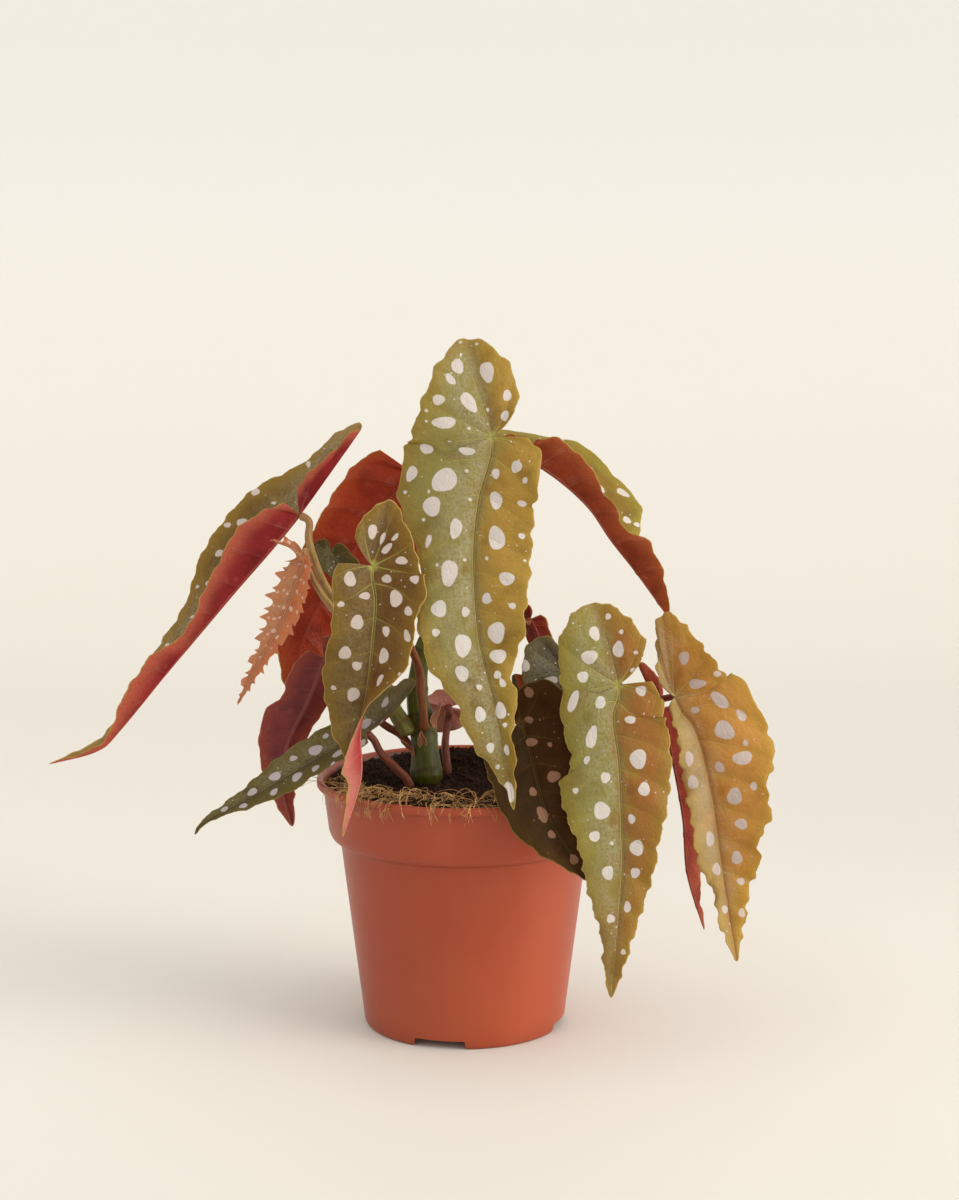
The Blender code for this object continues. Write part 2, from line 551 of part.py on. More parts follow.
LEAVES = {
    "leaf_front_tall": Blade(((2, -32, 281), (11, -36, 243), (6, -41, 219), (4, -47, 197), (6, -58, 168),
        (12, -68, 143), (19, -80, 107)), ((0.0, -1, 0.25), (0.0, -1, 0.2), (0.1, -1, 0.1)), FRONT_TALL, 33,
        22, -1, fold=((6, 6), (10, 10), (10, 10)), curl=((-14, -10), (-22, -16), (-6, -6)), ruffle=1.0,
        waves=5, samples=56, measured=True),
    "leaf_front_left_small": Blade(((-28, -54, 221), (-34, -58, 196), (-33, -60, 183), (-34, -63, 168),
        (-36, -64, 150), (-39, -64, 134), (-39, -63, 115), (-46, -62, 92)), ((0.1, -1, 0.2),
        (0.0, -1, 0.15), (-0.1, -1, 0.1), (-0.6, -1, 0), (-1, -0.6, 0)), FRONT_LEFT_SMALL, 20, 17, 1,
        fold=((10, 10), (8, 8), (6, 14), (0, 70), (10, 100), (30, 60)), curl=((10, 0), (0, 0), (0, 10),
        (0, 40)), ruffle=0.8, waves=4, samples=52, measured=True),
    "leaf_left_long": Blade(((-41, 5, 245), (-66, 0, 209), (-95, -8, 175), (-117, -16, 149),
        (-136, -22, 126), (-145, -26, 118), (-163, -32, 114)), ((-0.6, 0.3, 0.75), (-0.65, 0.25, 0.7),
        (-0.7, 0.1, 0.7), (-0.3, 0.1, 1)), LEFT_LONG, 27, 14, -1, fold=((55, 55), (58, 58), (50, 55),
        (40, 50)), curl=((10, 10), (20, 25), (10, 20)), ruffle=0.8, waves=4, samples=54, measured=True),
    "leaf_left_back": Blade(((0, 42, 246), (-22, 43, 222), (-41, 42, 197), (-59, 38, 170), (-69, 34, 148),
        (-73, 30, 122)), ((-0.1, 0.95, 0.35), (-0.1, 1, 0.2), (-0.2, 1, 0)), WING, 27, 21, -1,
        fold=((14, 14), (16, 16), (20, 20)), curl=((16, 16), (10, 10)), ruffle=1.0, waves=4),
    "leaf_left_purple": Blade(((-52, 8, 159), (-57, 10, 149), (-64, 13, 131), (-73, 14, 112),
        (-75, 12, 94), (-71, 8, 79)), ((-0.3, 0.9, 0.35), (-0.3, 0.95, 0.2), (-0.2, 1, 0.1)), LEFT_PURPLE,
        12, 16, -1, fold=((14, 30), (12, 40), (10, 30)), curl=((20, 20), (10, 20)), ruffle=0.6, waves=3,
        measured=True),
    "leaf_left_low": Blade(((-19, -27, 146), (-39, -19, 124), (-57, -22, 114.5), (-80, -30, 102),
        (-101, -38, 92), (-105, -42, 88)), ((-0.3, -0.3, 0.9), (-0.2, -0.35, 0.9), (-0.2, -0.4, 0.9)),
        WING, 10, 7, -1, fold=((30, 50), (20, 60), (15, 30)), curl=((10, 20), (10, 20)), ruffle=0.8,
        waves=3),
    "leaf_left_young": Blade(((-76, -20, 202), (-64, -12, 194), (-67, -16, 181), (-73, -20, 166),
        (-81, -24, 152), (-89, -28, 137)), ((-0.4, -0.6, 0.7), (-0.4, -0.9, 0.2), (-0.5, -0.8, 0.2)),
        LEFT_YOUNG, 8, 7, -1, fold=((40, 40), (30, 30), (25, 25)), curl=((10, 10),), ruffle=0.4, waves=4,
        samples=36, measured=True),
    "leaf_right_arch": Blade(((13, 18, 238), (24, 20, 231), (39, 18, 221), (51, 14, 210), (60, 10, 197),
        (71, 6, 183), (82, 0, 168)), ((0.2, 0.3, 0.9), (0.5, 0.25, 0.8), (0.7, 0.2, 0.7), (0.5, 0.6, 0.5)),
        WING, 32, 13, 1, fold=((40, 15), (50, 30), (45, 42), (25, 25)), curl=((15, 20), (20, 25),
        (10, 20)), ruffle=1.0, waves=4),
    "leaf_right_front": Blade(((50, -52, 181), (59, -56, 150), (57, -60, 138), (59, -65, 121),
        (60, -69, 96), (60, -72, 78), (56, -79, 34)), ((-0.05, -1, 0.2), (0.0, -1, 0.15), (0.0, -1, 0.1)),
        RIGHT_FRONT, 22, 20, -1, fold=((6, 6), (10, 10), (8, 8)), curl=((-12, -12), (-16, -16)),
        ruffle=1.0, waves=5, samples=54, measured=True),
    "leaf_right_outer": Blade(((78, -24, 173), (83, -28, 140), (91, -32, 127), (97, -36, 104),
        (100, -40, 83), (103, -43, 62), (107, -46, 38)), ((-0.2, -1, 0.15), (-0.25, -1, 0.1),
        (-0.1, -1, 0.1)), RIGHT_OUTER, 27, 10, 1, fold=((20, 4), (34, 4), (30, 4)), curl=((0, -14),
        (0, -14)), ruffle=1.0, waves=5, samples=54, measured=True, fans=(2, 9)),
    "leaf_right_red_edge": Blade(((71, 5, 148), (79, 4, 129), (84, 2, 112), (89, -2, 85), (91, -4, 62),
        (98, -6, 39)), ((0.7, 0.7, 0.2), (0.75, 0.65, 0.1), (0.7, 0.7, 0.1)), WING, 14, 11, 1,
        fold=((40, 40), (50, 50), (50, 50)), curl=((10, 10),), ruffle=0.8, waves=4, samples=40),
    "leaf_right_grey": Blade(
        ((30, 9, 158), (40, 9, 143), (36, 7, 127), (35, 5, 114), (38, 4, 106)),
        ((0.1, -0.9, 0.4), (0.1, -0.9, 0.3), (0, -1, 0.2)), WING, 20, 10, -1, fold=((8, 8), (8, 8)),
        curl=((-10, -10),), ruffle=1.0, waves=3, samples=40),
    "leaf_front_dark": Blade(
        ((15, -46, 141), (22, -50, 134), (27, -57, 119), (32, -65, 101), (47, -69, 77)),
        ((-0.1, -0.9, 0.45), (-0.1, -0.85, 0.5), (0.0, -0.8, 0.5)), WING, 21, 18, 1, fold=((6, 6), (8, 8)),
        curl=((-10, -10),), ruffle=0.8, waves=3, samples=40),
    "leaf_inner_red": Blade(((23, 17, 171), (27, 17, 164), (31, 16, 155), (35, 13, 146)),
        ((0.3, 0.9, 0.3), (0.3, 0.9, 0.1)), WING, 7, 6, 1, fold=((20, 20),), ruffle=0.4, waves=3,
        samples=30),
    "leaf_back_pink": Blade(
        ((-7, 26, 133), (-7, 25, 126), (-12, 29, 119), (-19, 32, 114)),
        ((0, 0.8, 0.6), (0, 0.7, 0.7)), WING, 11, 9, 1, fold=((10, 10),), ruffle=0.6, waves=3, samples=30),
    "leaf_inner_dark": Blade(((-60, 12, 197), (-55, 11, 193), (-47, 9, 185), (-40, 6, 176)),
        ((-0.1, -0.9, 0.4), (0.1, -0.9, 0.3)), WING, 8, 6, -1, fold=((10, 10),), ruffle=0.5, waves=3,
        samples=30),
    "leaf_withered": Blade(((-12, 5, 150), (-9, 6, 146), (-6, 6.5, 141), (-5, 7, 136)), ((0, -1, 0.3),
        (0.2, -1, 0.3)), LANCE, 4.5, 4.0, 1, fold=((20, 20),), ruffle=0.4, waves=3, samples=24, thick=0.45,
        fans=(2, 3)),
}

# ---------------------------------------------------------------- leaf stalks
# leaf: (stalk, the cane it leaves or None for the soil, how far up that cane, points on the way,
#        radius at the start, radius at the blade)
STALKS = {
    "leaf_front_tall": ("petiole_front_tall", "cane_main", 0.93, ((8, -11, 222), (11, -19, 238)), 1.9,
        1.6),
    "leaf_front_left_small": ("petiole_front_left", "cane_main", 0.27, ((-17, -14, 138), (-19, -17, 153),
        (-31, -44, 184)), 1.8, 1.3),
    "leaf_left_long": ("petiole_left_long", "cane_left", 0.90, ((-57, -5, 184), (-62, -2, 198)), 1.8, 1.5),
    "leaf_left_back": ("petiole_left_back", "cane_main", 0.52, ((-14, 9, 163), (-10, 18, 182),
        (-14, 31, 212)), 1.8, 1.5),
    "leaf_left_purple": ("petiole_left_purple", "cane_main", 0.17, ((-26, -3, 120), (-35, -2, 126),
        (-50, 4, 143)), 1.7, 1.3),
    "leaf_left_low": ("petiole_left_low", None, 0, ((-22, -18, 95.3), (-22, -18, 103), (-27, -18, 109),
        (-33, -17, 115)), 2.0, 1.4),
    "leaf_left_young": ("petiole_left_young", "cane_left", 0.80, ((-56, -13, 178), (-62, -10, 189)), 1.5,
        1.1),
    "leaf_right_arch": ("petiole_right_arch", "cane_main", 0.86, ((6, 9, 212), (17, 14, 222)), 1.8, 1.4),
    "leaf_right_front": ("petiole_right_front", "cane_right", 0.93, ((51, -20, 158), (57, -44, 155)), 1.7,
        1.4),
    "leaf_right_outer": ("petiole_right_outer", "cane_right", 0.80, ((60, -10, 142), (72, -13, 136)), 1.6,
        1.3),
    "leaf_right_red_edge": ("petiole_right_red", "cane_right", 0.62, ((50, -2, 133), (66, 0, 123)), 1.5,
        1.2),
    "leaf_right_grey": ("petiole_right_grey", "cane_right", 0.86, ((54, -2, 153), (53, 9, 152),
        (46, 14, 147)), 1.3, 1.1),
    "leaf_front_dark": ("petiole_front_dark", "cane_right", 0.30, ((26, -14, 112), (24, -34, 122)), 1.6,
        1.3),
    "leaf_inner_red": ("petiole_inner_red", "cane_main", 0.70, ((4, 9, 184), (18, 11, 172)), 1.2, 1.0),
    "leaf_back_pink": ("petiole_back_pink", None, 0, ((-7, 8, 95.3), (-7, 8, 103), (-8, 12, 112),
        (-7, 20, 120)), 1.8, 1.4),
    "leaf_inner_dark": ("petiole_inner_dark", "cane_left", 0.62, ((-41, 3, 163), (-44, 15, 170),
        (-53, 18, 187)), 1.2, 1.0),
    "leaf_withered": ("petiole_withered", "cane_main", 0.36, ((-21, 5, 144), (-19, 10, 148)), 0.9, 0.8),
}
# bract: (cane, how far up it, direction it stands off the cane, how far it leans out, length)
BRACTS = {
    "stipule_upper": ("cane_main", 0.25, (1, -0.4, 0), 0.36, 11.0),
    "stipule_left": ("cane_main", 0.155, (-0.1, -1, 0), 0.24, 6.5),
    "stipule_low": ("cane_main", 0.13, (-1, -0.6, 0), 0.60, 8.0),
}

COLOURS = {
    "terracotta_plastic": ((0.62, 0.22, 0.11), 0.42), "soil": ((0.07, 0.045, 0.03), 0.95),
    "coir": ((0.42, 0.28, 0.14), 0.9), "cane_green": ((0.10, 0.17, 0.04), 0.4),
    "petiole": ((0.30, 0.22, 0.08), 0.45), "leaf_olive": ((0.27, 0.25, 0.06), 0.4),
    "leaf_underside": ((0.36, 0.07, 0.04), 0.5), "leaf_dark": ((0.08, 0.06, 0.03), 0.4),
    "leaf_young": ((0.55, 0.26, 0.14), 0.5), "dry_bract": ((0.35, 0.17, 0.09), 0.8),
}
UNDERSIDES = ("leaf_left_back", "leaf_left_purple", "leaf_right_red_edge", "leaf_inner_red", "leaf_back_pink")
DARK = ("leaf_front_dark", "leaf_inner_dark", "leaf_left_low")


def slot_of(name):
    if name.startswith("stipule") or name == "leaf_withered":
        return "dry_bract"
    if name in UNDERSIDES:
        return "leaf_underside"
    if name in DARK:
        return "leaf_dark"
    return "leaf_young" if name == "leaf_left_young" else "leaf_olive"


def build_blade(name, blade, parts, mat):
    verts, faces = blade.sheet()
    obj = mesh_object(name, verts, faces, parts, mat)
    weld(obj, 5e-5)
    bm = bmesh.new()
    bm.from_mesh(obj.data)
    bm.normal_update()
    upper = blade.frame(blade.length * 0.4)[3]
    if sum((f.normal * f.calc_area() for f in bm.faces), Vector()).dot(upper) < 0:
        bmesh.ops.reverse_faces(bm, faces=bm.faces)
    bm.to_mesh(obj.data)
    bm.free()
    shell = obj.modifiers.new("Solidify", "SOLIDIFY")
    shell.thickness = blade.thick * MM
    shell.offset = 0.0
    bpy.context.view_layer.update()
    apply_modifiers(obj)
    weld(obj, 1e-6)
    return obj


def cane_run(name):
    """Smooth run and radii of a cane; its first piece is straight, so that its end is square."""
    points, radii = CANES[name]
    width = flowing([(r, 0, 0) for r in radii[1:]], 2)
    return [Vector(points[0])] + flowing(points[1:], 2), [radii[0]] + [w.x for w in width]


def cane_at(name, u):
    """Point on a cane's axis a given part of the way up, its direction and its radius."""
    run, radii = cane_run(name)
    x = u * (len(run) - 1)
    i = min(len(run) - 2, int(x))
    t = x - i
    bark = radii[i] + (radii[i + 1] - radii[i]) * t
    return run[i].lerp(run[i + 1], t), (run[i + 1] - run[i]).normalized(), bark


def off_bark(name, point):
    """Distance from a point to a cane's bark."""
    run, radii = cane_run(name)
    best = 1e9
    for i in range(len(run) - 1):
        span = run[i + 1] - run[i]
        t = min(1.0, max(0.0, (point - run[i]).dot(span) / span.length_squared))
        near = run[i].lerp(run[i + 1], t)
        best = min(best, (point - near).length - radii[i] - (radii[i + 1] - radii[i]) * t)
    return best


def leave_cane(name, u, towards, radius):
    """Two points just off a cane's bark: where a side piece starts, square to the cane, and the next.

    The piece's flat end is backed off until its whole rim is clear of the bark.
    """
    axis, along, bark = cane_at(name, u)
    way = Vector(towards) - axis
    way = (way - along * way.dot(along)).normalized()
    across = way.cross(along)
    reach = bark + GAP
    while reach < bark + 8.0:
        first = axis + way * reach
        rim = [first + (along * math.cos(a) + across * math.sin(a)) * radius for a in
               (k * math.pi / 6 for k in range(12))]
        if min(off_bark(name, p) for p in rim + [first]) >= GAP + 0.03:
            break
        reach += 0.05
    return [first, first + way * 1.6]


def build_cane(name, parts, mat):
    run, radii = cane_run(name)
    return tube(name, run, radii, parts, mat, 3)


def side_canes():
    """Work out where each side cane starts and list it with the others."""
    for name, mother, u, points, radii in SIDE_CANES:
        CANES[name] = (leave_cane(mother, u, points[0], radii[0]) + list(points), radii)


def build_stalk(blade, spec, parts, mat):
    name, cane, u, points, thick, thin = spec
    end, up = blade.underside(blade.thick / 2 + GAP + 0.1)
    start = leave_cane(cane, u, points[0], thick) if cane else []
    stops = start + [Vector(p) for p in points] + [end - up * 5.0, end]
    run = [stops[0]] + flowing(stops[1:-1]) + [stops[-1]]
    radii = [thick + (thin - thick) * i / (len(run) - 1) for i in range(len(run))]
    return tube(name, run, radii, parts, mat)


def bract(spec):
    """A dry pointed scale standing up beside a node."""
    cane, u, way, lean, length = spec
    axis, along, radius = cane_at(cane, u)
    way = Vector(way)
    way = (way - along * way.dot(along)).normalized()
    foot = axis + way * (radius + GAP + 0.3)
    grow = (along + way * lean).normalized()
    spine = (foot, foot + along * length * 0.4 + way * lean * 1.5, foot + grow * length + way * lean * 2)
    return Blade(spine, (way, way), LANCE, length * 0.30, length * 0.26, 1, fold=((-12, -12), (30, 30)),
                 ruffle=0.3, waves=2, samples=15, thick=0.4, fans=(2, 3))


def centre_on_floor(objects):
    """Shift everything so the bounding box is centred over the origin and stands on Z = 0."""
    lo, hi = Vector((1e9,) * 3), Vector((-1e9,) * 3)
    for obj in objects:
        for v in obj.data.vertices:
            lo = Vector(map(min, lo, v.co))
            hi = Vector(map(max, hi, v.co))
    shift = Vector((-(lo.x + hi.x) / 2, -(lo.y + hi.y) / 2, -lo.z))
    for obj in objects:
        for v in obj.data.vertices:
            v.co += shift
        obj.data.update()
    return shift


def main():
    for obj in list(bpy.data.objects):
        bpy.data.objects.remove(obj)
    parts = collection("potted_polka_dot_begonia")
    tools = collection("cutters")
    mats = {k: material(k, c, r) for k, (c, r) in COLOURS.items()}

    made = [build_pot(parts, tools, mats["terracotta_plastic"]),
            build_soil(parts, tools, mats["soil"], ROOTED),
            build_litter(parts, mats["coir"])]
    side_canes()
    for name in CANES:
        made.append(build_cane(name, parts, mats["cane_green"]))
    for name, spec in BRACTS.items():
        made.append(build_blade(name, bract(spec), parts, mats["dry_bract"]))
    for name, blade in LEAVES.items():
        made.append(build_blade(name, blade, parts, mats[slot_of(name)]))
    for leaf, spec in STALKS.items():
        made.append(build_stalk(LEAVES[leaf], spec, parts, mats["petiole"]))
    for tool in tools.objects:
        tool.hide_viewport = True
    shift = centre_on_floor(made)
    print("shift", [round(c, 5) for c in shift])


main()
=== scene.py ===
"""Looks of a potted polka dot begonia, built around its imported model.

Lengths are in millimetres, and places are measured from the pot's axis at floor level:
+X to the viewer's right, -Y to the front, +Z up. Site turns them into the frame's metres.
"""
import logging
import math
import random
from dataclasses import dataclass, field, replace
from enum import Enum

import bmesh
import bpy
import numpy as np
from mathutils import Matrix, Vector


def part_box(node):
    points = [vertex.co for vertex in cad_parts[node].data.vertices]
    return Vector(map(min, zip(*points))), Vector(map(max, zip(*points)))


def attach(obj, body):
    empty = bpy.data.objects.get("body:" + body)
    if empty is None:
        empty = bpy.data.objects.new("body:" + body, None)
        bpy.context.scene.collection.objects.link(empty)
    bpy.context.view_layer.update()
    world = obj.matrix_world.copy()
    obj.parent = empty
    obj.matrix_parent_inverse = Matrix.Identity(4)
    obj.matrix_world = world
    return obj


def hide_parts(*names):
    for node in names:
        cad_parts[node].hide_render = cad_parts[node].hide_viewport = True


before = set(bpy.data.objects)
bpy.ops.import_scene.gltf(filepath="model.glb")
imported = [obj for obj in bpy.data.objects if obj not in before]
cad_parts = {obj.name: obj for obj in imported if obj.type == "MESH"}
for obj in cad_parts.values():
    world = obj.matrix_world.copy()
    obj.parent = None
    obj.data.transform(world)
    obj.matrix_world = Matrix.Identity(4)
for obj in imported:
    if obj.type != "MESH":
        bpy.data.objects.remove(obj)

LOG = logging.getLogger("begonia")
MM = 0.001
Colour = tuple[float, float, float]
Point = tuple[float, float, float]
Pairs = tuple[tuple[float, float], ...]
Dots = tuple[tuple[float, float, float, float, float], ...]
Faces = list[tuple[int, ...]]
Marks = dict[str, np.ndarray]
Socket = bpy.types.NodeSocket
Material = bpy.types.Material
Piece = bpy.types.Object


class Slot(Enum):
    """Material slots of the record, one for each kind of piece."""

    POT = "terracotta_plastic"
    SOIL = "soil"
    COIR = "coir"
    CANE = "cane_green"
    PETIOLE = "petiole"
    OLIVE = "leaf_olive"
    UNDER = "leaf_underside"
    DARK = "leaf_dark"
    YOUNG = "leaf_young"
    DRY = "dry_bract"


# ------------------------------------------------------------------ small maths
def rgb(red: int, green: int, blue: int) -> Colour:
    """Turn a screen colour into linear light.

    Args:
        red: Red, 0 to 255.
        green: Green, 0 to 255.
        blue: Blue, 0 to 255.

    Returns:
        The linear colour.
    """
    def linear(c: int) -> float:
        """One channel in linear light."""
        x = c / 255.0
        return x / 12.92 if x <= 0.04045 else ((x + 0.055) / 1.055) ** 2.4
    return linear(red), linear(green), linear(blue)


def spline(knots: np.ndarray, pieces: int) -> np.ndarray:
    """Draw a smooth run through a few points.

    Args:
        knots: The points to pass through, one row each.
        pieces: Samples from one knot to the next.

    Returns:
        The samples, the last knot included.
    """
    ends = np.vstack([2 * knots[0] - knots[1], knots, 2 * knots[-1] - knots[-2]])
    t = (np.arange(pieces) / pieces)[:, None]
    rows = []
    for p0, p1, p2, p3 in zip(ends, ends[1:], ends[2:], ends[3:]):
        rows.append(0.5 * (2 * p1 + (p2 - p0) * t + (2 * p0 - 5 * p1 + 4 * p2 - p3) * t ** 2
                           + (3 * p1 - p0 - 3 * p2 + p3) * t ** 3))
    return np.vstack(rows + [knots[-1:]])


def arc(points: np.ndarray) -> np.ndarray:
    """Length along a run of points, from its first one."""
    return np.concatenate([[0.0], np.cumsum(np.linalg.norm(np.diff(points, axis=0), axis=1))])


def blend(stops: np.ndarray, u: np.ndarray) -> np.ndarray:
    """Ease between evenly spaced stops.

    Args:
        stops: One row for each stop.
        u: Where to read, 0 at the first stop and 1 at the last.

    Returns:
        One row for each reading.
    """
    if len(stops) == 1:
        return np.repeat(stops, len(u), axis=0)
    x = np.clip(u, 0.0, 1.0) * (len(stops) - 1)
    i = np.minimum(x.astype(int), len(stops) - 2)
    t = x - i
    t = (t * t * (3 - 2 * t))[:, None]
    return stops[i] * (1 - t) + stops[i + 1] * t


def unit(v: np.ndarray) -> np.ndarray:
    """Give vectors length one, and leave those of no length alone."""
    size = np.linalg.norm(v, axis=-1, keepdims=True)
    return v / np.maximum(size, 1e-9)


def bands(rings: np.ndarray, turned: bool = False) -> Faces:
    """Join closed rings of vertices by bands of faces.

    Args:
        rings: Numbers of the vertices, one row for each ring.
        turned: Whether the faces are wound the other way.

    Returns:
        The faces, band by band.
    """
    after = np.roll(rings, -1, axis=1)
    corners = [rings[:-1], after[:-1], after[1:], rings[1:]]
    if turned:
        corners = [rings[:-1], rings[1:], after[1:], after[:-1]]
    return [tuple(quad) for quad in np.stack(corners, axis=-1).reshape(-1, 4).tolist()]


def disc(middle: int, ring: np.ndarray, turned: bool = False) -> Faces:
    """Close a ring of vertices by triangles to its middle.

    Args:
        middle: Number of the vertex in the middle.
        ring: Numbers of the vertices round it.
        turned: Whether the triangles are wound the other way.

    Returns:
        The triangles.
    """
    pairs = zip(ring.tolist(), np.roll(ring, -1).tolist())
    return [(middle, b, a) if turned else (middle, a, b) for a, b in pairs]


def face_normals(places: np.ndarray, corners: np.ndarray) -> np.ndarray:
    """Normals of faces, as long as twice the area of their first three corners.

    Args:
        places: Places of the vertices.
        corners: Numbers of three vertices, one row for each face.

    Returns:
        One normal for each face.
    """
    start, one, two = (places[corners[:, k]] for k in range(3))
    return np.cross(one - start, two - start)


def vertex_normals(places: np.ndarray, faces: Faces) -> np.ndarray:
    """Normals of vertices, from the triangles and quads that meet there.

    Args:
        places: Places of the vertices.
        faces: The faces.

    Returns:
        One normal of length one for each vertex.
    """
    corners = np.array([face[:3] for face in faces])
    area = face_normals(places, corners)
    total = np.zeros_like(places)
    for k in range(3):
        np.add.at(total, corners[:, k], area)
    for face, normal in zip(faces, area):
        if len(face) == 4:
            total[face[3]] += normal
    return unit(total)


def write_mark(mesh: bpy.types.Mesh, name: str, values: np.ndarray) -> None:
    """Give every vertex of a mesh a number that a finish can read.

    Args:
        mesh: The mesh.
        name: The name that the finish asks for.
        values: One number for each vertex.
    """
    layer = mesh.attributes.new(name, "FLOAT", "POINT")
    layer.data.foreach_set("value", np.asarray(values, np.float32))


def link(name: str, data: bpy.types.ID) -> Piece:
    """Put a mesh, a light or a camera in the scene.

    Args:
        name: Its name.
        data: The mesh, light or camera.

    Returns:
        The object.
    """
    obj = bpy.data.objects.new(name, data)
    bpy.context.scene.collection.objects.link(obj)
    return obj


@dataclass(frozen=True)
class Site:
    """Where the pot stands in the frame.

    Args:
        origin: The foot of the pot's axis, in metres.
    """

    origin: np.ndarray

    @classmethod
    def of_pot(cls) -> "Site":
        """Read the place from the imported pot."""
        low, high = (np.array(c, float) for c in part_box("pot"))
        return cls(np.array([(low[0] + high[0]) / 2, (low[1] + high[1]) / 2, low[2]]))

    def metres(self, points: np.ndarray) -> np.ndarray:
        """Turn places in millimetres from the pot's foot into metres in the frame."""
        return np.asarray(points, float) * MM + self.origin


@dataclass
class Shell:
    """A mesh on its way to becoming a piece.

    Args:
        verts: Places in millimetres from the pot's foot.
        faces: Corners of each face.
        finish: Which material each face has.
        marks: Numbers at each vertex that the finishes read, by name.
    """

    verts: np.ndarray
    faces: Faces
    finish: list[int] = field(default_factory=list)
    marks: Marks = field(default_factory=dict)

    def piece(self, name: str, site: Site, materials: list[Material]) -> Piece:
        """Make the Blender object.

        Args:
            name: The piece's name.
            site: Where the pot stands.
            materials: The finishes, in the order that the faces count them.

        Returns:
            The object, with its place in its mesh.
        """
        mesh = bpy.data.meshes.new(name)
        mesh.from_pydata(site.metres(self.verts).tolist(), [], self.faces)
        for mat in materials:
            mesh.materials.append(mat)
        if self.finish:
            mesh.polygons.foreach_set("material_index", self.finish)
        for key, values in self.marks.items():
            write_mark(mesh, key, values)
        mesh.shade_smooth()
        mesh.update()
        return link(name, mesh)


def hand_in(piece: Piece, slot: Slot, *nodes: str) -> None:
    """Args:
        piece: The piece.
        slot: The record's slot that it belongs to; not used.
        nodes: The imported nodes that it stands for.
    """
    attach(piece, "root")
    if nodes:
        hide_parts(*nodes)
    LOG.info("%s: %d faces", piece.name, len(piece.data.polygons))


# ------------------------------------------------------------------ finishes
class Nodes:
    """Adds nodes to a tree with few words."""

    def __init__(self, tree: bpy.types.NodeTree) -> None:
        """Take over a tree."""
        self.tree = tree

    def put(self, socket: Socket, value: object) -> None:
        """Link a socket to an input, or write a plain value there.

        Args:
            socket: The input.
            value: A socket, a number, a colour or another plain value.
        """
        if isinstance(value, Socket):
            self.tree.links.new(value, socket)
        elif isinstance(value, tuple) and len(value) == 3 and socket.type == "RGBA":
            socket.default_value = (*value, 1.0)
        else:
            socket.default_value = value

    def node(self, kind: str, **values: object) -> bpy.types.Node:
        """Add a node and fill its inputs.

        Args:
            kind: The node's type.
            values: What each input gets, by its name; underscores stand for spaces.

        Returns:
            The node.
        """
        node = self.tree.nodes.new(kind)
        for key, value in values.items():
            self.put(node.inputs[key.replace("_", " ")], value)
        return node

    def maths(self, op: str, a: object, b: object = 0.0, clamp: bool = False) -> Socket:
        """One step of arithmetic.

        Args:
            op: The operation.
            a: First number or socket.
            b: Second number or socket.
            clamp: Whether the result stays between 0 and 1.

        Returns:
            The result.
        """
        node = self.tree.nodes.new("ShaderNodeMath")
        node.operation = op
        node.use_clamp = clamp
        self.put(node.inputs[0], a)
        self.put(node.inputs[1], b)
        return node.outputs[0]


